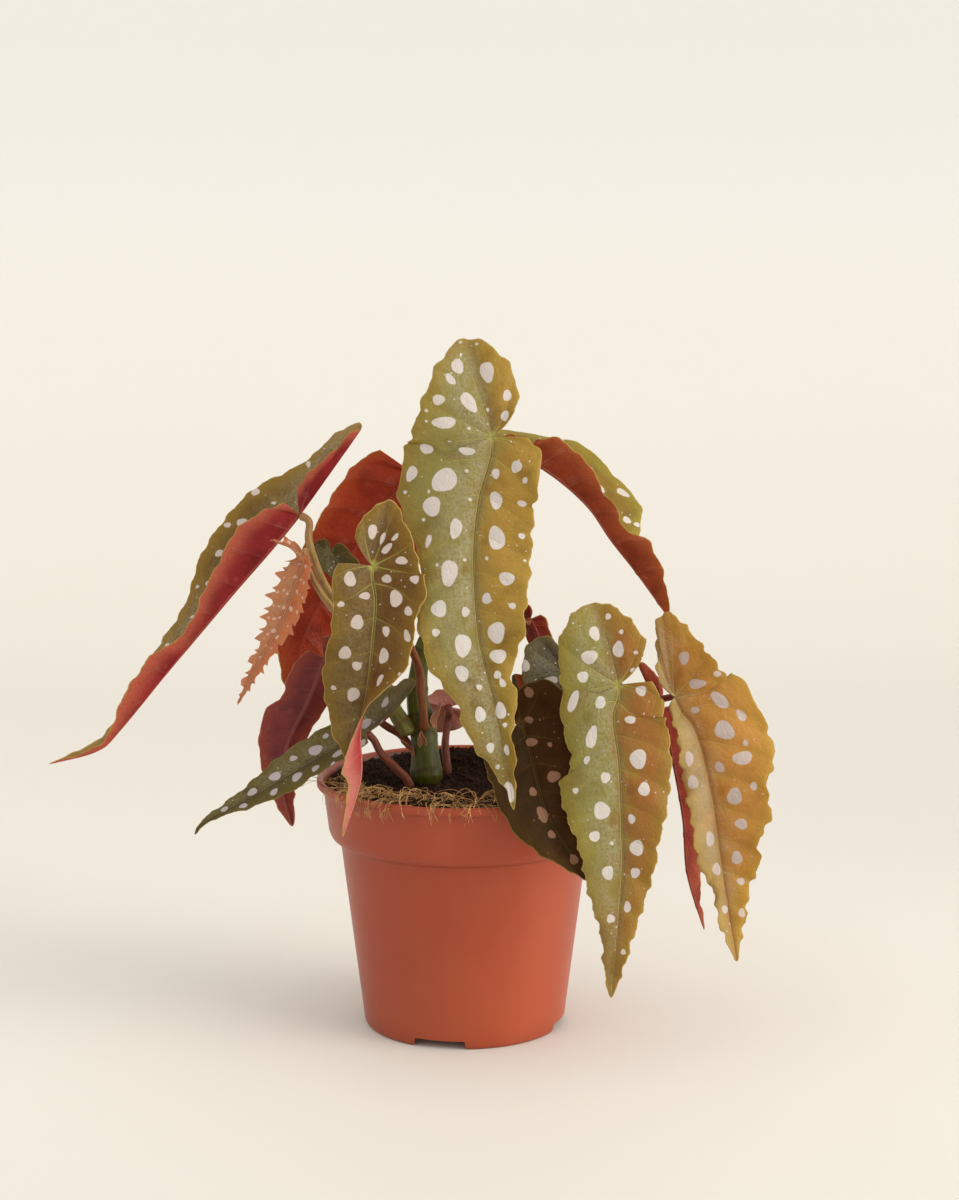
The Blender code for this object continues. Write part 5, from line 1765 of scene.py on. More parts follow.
@dataclass(frozen=True)
class Stalk:
    """A leaf stalk.

    Args:
        leaf: The leaf that it carries.
        node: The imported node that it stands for.
        cane: The cane that it leaves; None for the soil.
        share: How far up that cane it leaves.
        points: Places on its way.
        thick: Radius at its foot.
        thin: Radius under the blade.
        finish: Its skin.
    """

    leaf: str
    node: str
    cane: str | None
    share: float
    points: tuple[Point, ...]
    thick: float
    thin: float
    finish: StemFinish

    SAMPLES = 14          # from one place to the next
    SIDES = 16
    RIDGE = 0.035
    FLARE = 0.45          # how much wider it is where it leaves a cane

    def build(self, site: Site, canes: dict[str, Cane], laid: LaidBlade, seed: int) -> Piece:
        """Make the stalk from the cane's heart to the underside of its blade, hang it on the root and hide
        its imported node.

        Args:
            site: Where the pot stands.
            canes: The canes by name.
            laid: The blade that it carries.
            seed: Start of its wander.

        Returns:
            The piece.
        """
        start, flare = [], 0.0
        if self.cane:
            axis, along, bark = canes[self.cane].at(self.share)
            way = np.array(self.points[0]) - axis
            way = unit(way - along * float(way @ along))
            start = [axis + way * bark * 0.45, axis + way * (bark + 1.3)]
            flare = self.FLARE
        joint, _, up = (v[0] for v in laid.frame_at(np.zeros(1)))
        stops = start + [np.array(p, float) for p in self.points]
        stops += [joint - up * 5.0, joint - up * 0.15]
        path = spline(np.array(stops), self.SAMPLES)
        run = arc(path)
        radii = self.thick + (self.thin - self.thick) * (run / run[-1])
        foot, head = np.exp(-(run / 3.2) ** 2), np.exp(-((run[-1] - run) / 1.8) ** 2)
        radii = radii * (1 + flare * foot) * (1 + 0.28 * head)
        tube = Tube(path, radii, (), self.SIDES, self.RIDGE, seed)
        skin = self.finish.build(self.node + " skin")
        piece = tube.shell().piece("skin_" + self.node, site, [skin])
        hand_in(piece, Slot.PETIOLE, self.node)
        return piece


# ------------------------------------------------------------------ pot
@dataclass(frozen=True)
class Pot:
    """The moulded nursery pot.

    Args:
        height: Height.
        lip: Radius of the lip.
        lip_height: Height of the lip.
        collar_top: Radius of the collar under the lip.
        collar_foot: Radius of the collar at its foot.
        collar_z: Height of the collar's foot.
        wall_top: Radius of the wall under the collar.
        foot: Radius of the foot.
        wall: Thickness of the wall.
        floor: Height of the floor.
        notch: Width and height of each notch in the foot.
        first: Angle of the first notch, in degrees.
        notches: How many notches there are.
        drains: How many drain holes there are.
        drain: Ring and radius of the drain holes.
        steps: Faces round it.
    """

    height: float = 102.6
    lip: float = 60.0
    lip_height: float = 3.4
    collar_top: float = 57.3
    collar_foot: float = 55.0
    collar_z: float = 77.0
    wall_top: float = 50.4
    foot: float = 40.8
    wall: float = 1.4
    floor: float = 4.0
    notch: tuple[float, float] = (21.5, 3.6)
    first: float = -104.0
    notches: int = 4
    drains: int = 6
    drain: tuple[float, float] = (27.0, 4.0)
    steps: int = 216

    DRAIN_SIDES = 40
    EASE = 0.7            # how far its corners are eased
    LONGEST = 7.0         # longest face along its section

    def profile(self) -> np.ndarray:
        """Draw the half section.

        Returns:
            Radius and height, from the middle of the floor inside, over the lip, to the middle
            below.
        """
        h, lip, top = self.height, self.lip, self.collar_top
        low, z, under_lip = self.collar_foot, self.collar_z, self.height - self.lip_height
        w, f, base, wall = self.wall_top, self.foot, self.floor, self.wall
        return np.array([
            (0.0, base + wall), (36.6, base + wall), (38.9, base + 2.6), (w - wall, z - 1.0),
            (w - wall + 0.6, z + 1.2), (low - 2.4, z + 2.2), (low - 1.3, z + 4.6),
            (top - wall, h - 4.0), (top - 0.2, h - 1.2), (top + 0.6, h - 0.2), (lip - 1.0, h),
            (lip - 0.25, h - 0.3), (lip, h - 1.0), (lip, under_lip + 0.4), (lip - 0.5, under_lip),
            (top + 0.3, under_lip - 0.2), (top, under_lip - 0.8), (low + 0.2, z + 4.2),
            (low - 0.9, z + 1.5), (low - 2.8, z + 0.3), (w + 0.5, z - 0.2), (w, z - 1.4),
            (f + 0.25, 1.2), (f - 0.5, 0.0), (f - 2.4, 0.0), (f - 2.7, 0.6), (f - 3.0, base - 0.5),
            (f - 3.8, base), (0.0, base),
        ])

    def rounded(self) -> np.ndarray:
        """Ease the corners of the half section and split its long runs.

        Returns:
            Radius and height, in the same order.
        """
        points = self.profile()
        out = [points[0]]
        for before, here, after in zip(points, points[1:], points[2:]):
            back, on = before - here, after - here
            ease = min(self.EASE, 0.42 * np.linalg.norm(back), 0.42 * np.linalg.norm(on))
            a, b = here + unit(back) * ease, here + unit(on) * ease
            out += [a, 0.25 * a + 0.5 * here + 0.25 * b, b]
        out.append(points[-1])
        split = [out[0]]
        for a, b in zip(out, out[1:]):
            count = max(1, math.ceil(np.linalg.norm(b - a) / self.LONGEST))
            split += [a + (b - a) * k / count for k in range(1, count + 1)]
        return np.array(split)

    def shell(self) -> Shell:
        """Turn the pot, before its notches and holes are cut.

        Returns:
            The closed pot.
        """
        section = self.rounded()
        ring = section[1:-1]
        turn = np.arange(self.steps) / self.steps * 2 * math.pi
        circle = np.stack([np.cos(turn), np.sin(turn)], axis=1)
        out_of_round = 1 + 0.0018 * np.sin(2 * turn + 0.6) + 0.0009 * np.sin(5 * turn)
        r = ring[:, 0][:, None] * out_of_round[None, :]
        z = np.repeat(ring[:, 1][:, None], self.steps, 1)
        verts = np.stack([r * circle[:, 0], r * circle[:, 1], z], axis=-1)
        ids = np.arange(len(ring) * self.steps).reshape(len(ring), self.steps)
        faces = bands(ids) + disc(ids.size, ids[0]) + disc(ids.size + 1, ids[-1], True)
        ends = np.array([[0.0, 0.0, section[0, 1]], [0.0, 0.0, section[-1, 1]]])
        return Shell(np.vstack([verts.reshape(-1, 3), ends]), faces)

    def notch_tool(self, degrees: float) -> Shell:
        """Block that cuts one notch, a little wider at its foot.

        Args:
            degrees: Where it lies round the foot.

        Returns:
            The block.
        """
        wide, tall = self.notch
        a = math.radians(degrees)
        out = np.array([math.cos(a), math.sin(a), 0.0])
        along = np.array([-math.sin(a), math.cos(a), 0.0])
        corners = []
        for reach in (-6.0, 6.0):
            for half, z in ((wide / 2 + 0.8, -2.0), (wide / 2 - 0.6, tall)):
                mid = out * (self.foot - 1.5) + out * reach + [0, 0, z]
                corners += [mid + along * half, mid - along * half]
        faces = [(0, 1, 3, 2), (4, 6, 7, 5), (0, 4, 5, 1), (2, 3, 7, 6), (0, 2, 6, 4), (1, 5, 7, 3)]
        return Shell(np.array(corners), faces)

    def drain_tool(self, degrees: float) -> Shell:
        """Rod that cuts one drain hole.

        Args:
            degrees: Where it lies round the floor.

        Returns:
            The rod.
        """
        ring, radius = self.drain
        a, n = math.radians(degrees), self.DRAIN_SIDES
        turn = np.arange(n) / n * 2 * math.pi
        rim = np.stack([ring * math.cos(a) + radius * np.cos(turn),
                        ring * math.sin(a) + radius * np.sin(turn)], 1)
        low, high = (np.column_stack([rim, np.full(n, z)]) for z in (0.0, 8.0))
        faces = bands(np.arange(2 * n).reshape(2, n))
        faces += [tuple(range(n - 1, -1, -1)), tuple(range(n, 2 * n))]
        return Shell(np.vstack([low, high]), faces)

    def cutters(self, site: Site) -> list[Piece]:
        """Make the tools for the notches in the foot and for the drain holes.

        Args:
            site: Where the pot stands.

        Returns:
            The tools, which have to be removed once they have cut.
        """
        shells = [self.notch_tool(self.first + 360.0 * k / self.notches) for k in range(self.notches)]
        shells += [self.drain_tool(self.first + 30.0 + 360.0 * k / self.drains)
                   for k in range(self.drains)]
        return [shell.piece(f"cutter {k}", site, []) for k, shell in enumerate(shells)]

    def build(self, site: Site) -> Piece:
        """Turn the pot, cut it, mark where it is soiled, hang it on the root and hide the imported pot.

        Args:
            site: Where the pot stands.

        Returns:
            The piece.
        """
        piece = self.shell().piece("moulded_pot", site, [PlasticFinish().build("moulded plastic")])
        outward(piece)
        tools = self.cutters(site)
        for tool in tools:
            outward(tool)
            cut = piece.modifiers.new(tool.name, "BOOLEAN")
            cut.operation = "DIFFERENCE"
            cut.solver = "EXACT"
            cut.object = tool
        settle(piece)
        for tool in tools:
            bpy.data.objects.remove(tool)
        mesh = piece.data
        places = np.empty(len(mesh.vertices) * 3)
        mesh.vertices.foreach_get("co", places)
        places = (places.reshape(-1, 3) - site.origin) / MM
        radius = np.hypot(places[:, 0], places[:, 1])
        inside = (radius < 53.9 + 0.145 * (places[:, 2] - 80.0)) & (places[:, 2] > self.collar_z + 3.0)
        soiled = np.where(inside, 0.9, 0.0) + 0.3 * np.exp(-places[:, 2] / 2.0)
        write_mark(mesh, "soiled", soiled)
        smooth_by_angle(piece, 32.0)
        hand_in(piece, Slot.POT, "pot")
        return piece


def outward(piece: Piece) -> None:
    """Turn the faces of a closed piece outward.

    Args:
        piece: The piece.
    """
    bm = bmesh.new()
    bm.from_mesh(piece.data)
    bmesh.ops.recalc_face_normals(bm, faces=bm.faces)
    bm.to_mesh(piece.data)
    bm.free()


def settle(piece: Piece) -> None:
    """Swap a piece's mesh for the one that its modifiers make.

    Args:
        piece: The piece.
    """
    graph = bpy.context.evaluated_depsgraph_get()
    graph.update()
    fresh = bpy.data.meshes.new_from_object(piece.evaluated_get(graph))
    piece.modifiers.clear()
    piece.data = fresh


def smooth_by_angle(piece: Piece, degrees: float) -> None:
    """Shade a piece smooth but keep its sharp edges.

    Args:
        piece: The piece.
        degrees: Angle above which an edge stays sharp.
    """
    bm = bmesh.new()
    bm.from_mesh(piece.data)
    bmesh.ops.remove_doubles(bm, verts=bm.verts, dist=1e-7)
    for face in bm.faces:
        face.smooth = True
    for edge in bm.edges:
        edge.smooth = len(edge.link_faces) != 2 or edge.calc_face_angle(0.0) < math.radians(degrees)
    bm.to_mesh(piece.data)
    bm.free()


# ------------------------------------------------------------------ soil and coir
class Scatter(Nodes):
    """A node tree that strews small shapes over a surface, turns them into mesh and paints them."""

    SIZES = (0.45, 1.25)                                # scale of the shapes, from and to
    TURNS = ((-0.5, -0.5, 0.0), (0.5, 0.5, 6.283))      # how they are turned, in radians

    def __init__(self, name: str) -> None:
        """Start an empty tree with its inputs.

        Args:
            name: The tree's name.
        """
        super().__init__(bpy.data.node_groups.new(name, "GeometryNodeTree"))
        ports = self.tree.interface
        ports.new_socket("Geometry", in_out="INPUT", socket_type="NodeSocketGeometry")
        for port in ("Density", "Size"):
            ports.new_socket(port, in_out="INPUT", socket_type="NodeSocketFloat")
        ports.new_socket("Seed", in_out="INPUT", socket_type="NodeSocketInt")
        ports.new_socket("Geometry", in_out="OUTPUT", socket_type="NodeSocketGeometry")
        self.start = self.node("NodeGroupInput")
        self.end = self.node("NodeGroupOutput")

    def scaled(self, vector: Socket, by: float) -> Socket:
        """A vector made longer or shorter.

        Args:
            vector: The vector.
            by: How many times as long it becomes.

        Returns:
            The new vector.
        """
        node = self.node("ShaderNodeVectorMath")
        node.operation = "SCALE"
        self.put(node.inputs[0], vector)
        self.put(node.inputs["Scale"], by)
        return node.outputs[0]

    def random(self, kind: str, low: object, high: object, seed: int) -> Socket:
        """A random value for each point.

        Args:
            kind: FLOAT or FLOAT_VECTOR.
            low: Least value.
            high: Greatest value.
            seed: Start of the random numbers.

        Returns:
            The value.
        """
        node = self.node("FunctionNodeRandomValue")
        node.data_type = kind
        k = 0 if kind == "FLOAT_VECTOR" else 2
        node.inputs[k].default_value = low
        node.inputs[k + 1].default_value = high
        node.inputs["Seed"].default_value = seed
        return node.outputs[0 if kind == "FLOAT_VECTOR" else 1]

    def strew(self, shapes: list[Socket], mat: Material, lift: float) -> None:
        """Lay each shape on its own points, realise them all and give them their material.

        Args:
            shapes: The shapes.
            mat: Their material.
            lift: How far off the surface they lie, in millimetres.
        """
        start = self.start.outputs
        joined = self.node("GeometryNodeJoinGeometry")
        for k, shape in enumerate(shapes):
            seed = self.maths("ADD", start["Seed"], 31.0 * (k + 1))
            points = self.node("GeometryNodeDistributePointsOnFaces", Mesh=start["Geometry"],
                               Density=start["Density"], Seed=seed)
            up = self.scaled(points.outputs["Normal"], lift * MM)
            raised = self.node("GeometryNodeSetPosition", Geometry=points.outputs["Points"], Offset=up)
            size = self.maths("MULTIPLY", start["Size"], self.random("FLOAT", *self.SIZES, 5 + k))
            turn = self.random("FLOAT_VECTOR", *self.TURNS, 11 + k)
            laid = self.node("GeometryNodeInstanceOnPoints", Points=raised.outputs[0], Instance=shape,
                             Rotation=turn, Scale=size)
            self.tree.links.new(laid.outputs[0], joined.inputs[0])
        real = self.node("GeometryNodeRealizeInstances", Geometry=joined.outputs[0])
        paint = self.node("GeometryNodeSetMaterial", Geometry=real.outputs[0], Material=mat)
        self.tree.links.new(paint.outputs[0], self.end.inputs[0])

    def run(self, name: str, base: Piece, density: float, size: float,
            seed: int) -> Piece:
        """Strew over a surface and keep what was strewn as a plain mesh.

        Args:
            name: The new piece's name.
            base: The surface, which is used up.
            density: Points a square metre, for each shape.
            size: Scale of the shapes.
            seed: Start of the random numbers.

        Returns:
            The piece.
        """
        modifier = base.modifiers.new(name, "NODES")
        modifier.node_group = self.tree
        wanted = {"Density": density, "Size": size, "Seed": seed}
        for item in self.tree.interface.items_tree:
            if item.in_out == "INPUT" and item.name in wanted:
                modifier[item.identifier] = wanted[item.name]
        base.update_tag()
        settle(base)
        base.name = name
        return base


def rough_ground(x: np.ndarray, y: np.ndarray, seed: float, size: float = 1.0) -> np.ndarray:
    """Lumpy heights made of turned waves.

    Args:
        x: Places to the right.
        y: Places to the back.
        seed: Shift of the waves.
        size: How long the waves are.

    Returns:
        Heights of about one unit at most.
    """
    total = np.zeros_like(x)
    waves = ((21.0, 0.5), (11.0, 0.45), (6.1, 0.4), (3.4, 0.32), (2.1, 0.25))
    for k, (wave, amount) in enumerate(waves):
        a = 1.7 * k + seed
        u = (x * math.cos(a) + y * math.sin(a)) / (wave * size)
        v = (-x * math.sin(a) + y * math.cos(a)) / (wave * size)
        bent = 2 * math.pi * u + 1.3 * np.sin(2 * math.pi * v * 0.7 + seed)
        total += amount * np.sin(bent) * np.cos(2 * math.pi * v)
    return total


@dataclass(frozen=True)
class Soil:
    """Potting soil with its crumbs.

    Args:
        crown: Height in the middle.
        edge: Height by the pot's wall.
        crown_radius: Radius of the level middle.
        rise: How much higher it lies at the back.
        reach: Radius of its top.
    """

    crown: float = 101.6
    edge: float = 98.4
    crown_radius: float = 34.0
    rise: float = 5.0
    reach: float = 54.9

    # Radius and height of its rings under the top, inside the pot's wall.
    BELOW = ((53.4, 81.8), (52.3, 79.5), (49.0, 78.6), (48.6, 76.0), (38.5, 6.9), (36.3, 5.7))
    RINGS = 56
    STEPS = 220
    # Radius and flatness of the three kinds of crumbs, and how many lie on a square metre.
    CRUMBS = ((0.9, 0.7), (0.55, 0.85), (1.35, 0.55))
    DENSITY = 42000.0

    def height(self, x: np.ndarray, y: np.ndarray) -> np.ndarray:
        """Height of the lumpy top.

        Args:
            x: Places to the right.
            y: Places to the back.

        Returns:
            The heights.
        """
        r = np.hypot(x, y)
        t = np.clip((r - self.crown_radius) / (47.0 - self.crown_radius), 0.0, 1.0)
        level = self.crown + (self.edge - self.crown) * t * t * (3 - 2 * t)
        back = np.clip((y - 6.0) / 22.0, 0.0, 1.0)
        back = back * back * (3 - 2 * back) * np.clip((52.0 - r) / 10.0, 0.0, 1.0)
        lumps = rough_ground(x, y, 0.4) * np.clip((54.0 - r) / 6.0, 0.15, 1.0)
        heaped = np.clip((r - 42.0) / 9.0, 0.0, 1.0) * np.clip((y + 22.0) / 16.0, 0.0, 1.0)
        return level + self.rise * 0.8 * back + 2.1 * heaped + 0.85 * lumps

    def top(self) -> tuple[np.ndarray, np.ndarray]:
        """The lumpy top.

        Returns:
            Its places, of which the first is the middle, and the vertex numbers of its rings.
        """
        r = np.linspace(self.reach / self.RINGS, self.reach, self.RINGS)[:, None]
        turn = np.arange(self.STEPS)[None, :] / self.STEPS * 2 * math.pi
        x, y = r * np.cos(turn), r * np.sin(turn)
        middle = [[0.0, 0.0, float(self.height(np.zeros(1), np.zeros(1))[0])]]
        verts = np.vstack([middle, np.stack([x, y, self.height(x, y)], axis=-1).reshape(-1, 3)])
        return verts, 1 + np.arange(x.size).reshape(x.shape)

    def build(self, site: Site) -> list[Piece]:
        """Make the soil and its crumbs, hang them on the root and hide the imported soil.

        Args:
            site: Where the pot stands.

        Returns:
            The bed and the crumbs.
        """
        verts, rings = self.top()
        faces = disc(0, rings[0]) + bands(rings, True)
        earth = EarthFinish(rgb(18, 11, 8), rgb(42, 27, 19), rgb(92, 64, 46)).build("potting soil")
        skin = Shell(verts, faces).piece("crumbs base", site, [earth])
        turn = np.arange(self.STEPS) / self.STEPS * 2 * math.pi
        rows = [verts] + [
            np.column_stack([radius * np.cos(turn), radius * np.sin(turn), np.full(self.STEPS, z)])
            for radius, z in self.BELOW
        ]
        below = len(verts) + np.arange(len(self.BELOW) * self.STEPS).reshape(-1, self.STEPS)
        wall = bands(np.vstack([rings[-1:], below]), True)
        ground = Shell(np.vstack(rows), faces + wall + [tuple(below[-1, ::-1].tolist())])
        bed = ground.piece("soil_bed", site, [earth])
        outward(bed)
        hand_in(bed, Slot.SOIL, "potting_soil")
        return [bed, self.crumbs(skin)]

    def crumbs(self, base: Piece) -> Piece:
        """Strew crumbs of three kinds over the top and hang them on the root.

        Args:
            base: The top, which is used up.

        Returns:
            The piece.
        """
        colours = rgb(20, 12, 8), rgb(56, 36, 25), rgb(122, 88, 62)
        grit = EarthFinish(*colours, 1400.0, 0.3).build("soil crumbs")
        s = Scatter("crumbs")
        shapes = []
        for k, (radius, squash) in enumerate(self.CRUMBS):
            ball = s.node("GeometryNodeMeshIcoSphere", Radius=radius * MM, Subdivisions=2)
            dent = s.node("ShaderNodeTexNoise", Scale=700.0 + 220.0 * k)
            push = s.node("ShaderNodeVectorMath")
            push.operation = "SUBTRACT"
            s.put(push.inputs[0], dent.outputs["Color"])
            s.put(push.inputs[1], (0.5, 0.5, 0.5))
            grow = s.scaled(push.outputs[0], radius * MM * 1.9)
            lumpy = s.node("GeometryNodeSetPosition", Geometry=ball.outputs[0], Offset=grow)
            flat = s.node("GeometryNodeTransform", Geometry=lumpy.outputs[0], Scale=(1.0, 0.8, squash))
            shapes.append(flat.outputs[0])
        s.strew(shapes, grit, 0.2)
        piece = s.run("soil_crumbs", base, self.DENSITY, 1.0, 7)
        hand_in(piece, Slot.SOIL)
        return piece


@dataclass(frozen=True)
class Coir:
    """Loose coconut fibre heaped along the front of the rim.

    Args:
        ring: Radius of the heap's middle.
        half_width: Half its width.
        half_height: Half its height.
        base: Height of the soil under it.
        start: Where it starts, in degrees.
        stop: Where it stops.
    """

    ring: float = 50.2
    half_width: float = 4.6
    half_height: float = 2.4
    base: float = 99.1
    start: float = -158.0
    stop: float = -38.0

    SECTORS = 120
    SIDES = 20
    DENSITY = 42000.0         # short fibres on a square metre, of each kind
    STRANDS = 330
    LYING, HANGING = 0.80, 0.975          # shares of the strands that lie, and that lie or hang
    TUFTS = (-146.0, -131.0, -122.0, -103.0, -88.0)       # where strands hang over, in degrees
    # The three short fibres: start, middle and end, and radius.
    FIBRES = (
        ((-4.5, 0, 0), (0, 3.4, 1.6), (4.5, 0.4, 0.3), 0.15),
        ((-3.4, -0.6, 0.2), (0.6, -3.0, 2.4), (2.8, 1.6, 0.2), 0.12),
        ((-6.0, 0.8, 0.1), (0, -2.2, 2.6), (6.4, 0.9, 0.6), 0.10),
    )

    def heap(self) -> Shell:
        """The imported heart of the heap.

        Returns:
            A closed roll along the rim.
        """
        t = np.linspace(0.0, 1.0, self.SECTORS + 1)[:, None]
        turn = (np.arange(self.SIDES) / self.SIDES * 2 * math.pi)[None, :]
        a = np.radians(self.start + (self.stop - self.start) * t)
        swell = 0.35 + 0.65 * np.sin(math.pi * t) ** 0.5
        swell = swell * (1.0 + 0.12 * np.sin(17 * t) * np.sin(math.pi * t)) * 0.86
        r = self.ring + self.half_width * swell * np.cos(turn)
        z = self.base + self.half_height * swell * (1 + np.sin(turn))
        x, y = r * np.cos(a), r * np.sin(a)
        z = z + 0.35 * rough_ground(x, y, 2.2, 0.6) * (np.sin(turn) > 0)
        ids = np.arange(x.size).reshape(x.shape)
        faces = bands(ids) + [tuple(ids[0, ::-1].tolist()), tuple(ids[-1].tolist())]
        return Shell(np.stack([x, y, z], axis=-1).reshape(-1, 3), faces)

    def fibres(self, s: Scatter) -> list[Socket]:
        """Bend the short fibres.

        Args:
            s: The tree that will strew them.

        Returns:
            Three curled shapes.
        """
        shapes = []
        for a, b, c, radius in self.FIBRES:
            bow = s.node("GeometryNodeCurveQuadraticBezier", Resolution=9,
                         Start=tuple(v * MM for v in a), Middle=tuple(2 * v * MM for v in b),
                         End=tuple(v * MM for v in c))
            ring = s.node("GeometryNodeCurvePrimitiveCircle", Resolution=4, Radius=radius * MM)
            tube = s.node("GeometryNodeCurveToMesh", Curve=bow.outputs[0],
                          Profile_Curve=ring.outputs[0])
            tube.inputs["Fill Caps"].default_value = True
            shapes.append(tube.outputs[0])
        return shapes

    def strand(self, rng: random.Random) -> np.ndarray:
        """Knots of one long strand: it lies on the heap, hangs over the lip or sticks out.

        Args:
            rng: Random numbers.

        Returns:
            The knots.
        """
        kind = rng.random()
        turn = rng.uniform(self.start - 14.0, self.stop + 10.0)
        knots = []
        if kind < self.LYING:
            r, z = rng.uniform(46.0, 55.5), self.base + rng.uniform(2.6, 4.2)
            way = rng.uniform(0, 6.3)
            for _ in range(4):
                knots.append((r, turn, z))
                way += rng.uniform(-1.1, 1.1)
                r = min(57.5, max(44.0, r + rng.uniform(2.0, 4.0) * math.cos(way)))
                turn += rng.uniform(2.0, 4.5) * math.sin(way)
                z = min(106.0, max(101.4, z + rng.uniform(-1.4, 1.7)))
        elif kind < self.HANGING:
            turn = rng.gauss(rng.choice(self.TUFTS), 4.5)
            drop = rng.uniform(0.3, 6.0)
            bow = rng.uniform(-5.0, 5.0)
            knots = [(rng.uniform(52.0, 56.0), turn, 102.4 + rng.random()),
                     (59.6, turn + 0.3 * bow, 103.4 + 0.8 * rng.random()),
                     (61.6 + rng.random(), turn + 0.7 * bow, 102.4 - 0.4 * drop),
                     (60.8 + 1.6 * rng.random(), turn + bow + rng.uniform(-2, 2), 101.0 - drop)]
        else:
            turn = rng.uniform(-196.0, -160.0)
            knots = [(54.0, turn, 102.6), (60.4, turn + 1.0, 103.8),
                     (64.0, turn + rng.uniform(-2, 3), 104.2),
                     (67.0 + 4.0 * rng.random(), turn + rng.uniform(-3, 4), 101.5 + 5.0 * rng.random())]
        r, a, z = np.array(knots).T
        return np.column_stack([r * np.cos(np.radians(a)), r * np.sin(np.radians(a)), z])

    def strands(self) -> Shell:
        """Bend long loose strands, on the heap and over the lip.

        Returns:
            All of them in one mesh.
        """
        rng = random.Random(8)
        verts, faces, total = [], [], 0
        for k in range(self.STRANDS):
            path = spline(self.strand(rng), 5)
            radius = rng.uniform(0.09, 0.17)
            one = Tube(path, np.linspace(radius, radius * 0.6, len(path)), (), 4, 0.0, k).shell()
            verts.append(one.verts)
            faces += [tuple(v + total for v in f) for f in one.faces]
            total += len(one.verts)
        return Shell(np.vstack(verts), faces)

    def build(self, site: Site) -> list[Piece]:
        """Make the heap and its loose fibres, hang them on the root and hide the imported litter.

        Args:
            site: Where the pot stands.

        Returns:
            The heap, the short fibres and the long strands.
        """
        heart_colours = rgb(18, 12, 8), rgb(44, 29, 18), rgb(108, 78, 46)
        fibre_colours = rgb(116, 80, 46), rgb(196, 152, 98), rgb(242, 212, 164)
        dull = EarthFinish(*heart_colours, 1500.0, 0.6).build("coir heap")
        bright = EarthFinish(*fibre_colours, 900.0, 0.1).build("coir fibre")
        heart = self.heap().piece("coir_heap", site, [dull])
        outward(heart)
        hand_in(heart, Slot.COIR, "coir_litter")
        base = self.heap().piece("fibre base", site, [bright])
        outward(base)
        s = Scatter("fibres")
        s.strew(self.fibres(s), bright, 0.25)
        loose = s.run("coir_fibres", base, self.DENSITY, 1.25, 3)
        hand_in(loose, Slot.COIR)
        strands = self.strands().piece("coir_strands", site, [bright])
        hand_in(strands, Slot.COIR)
        return [heart, loose, strands]


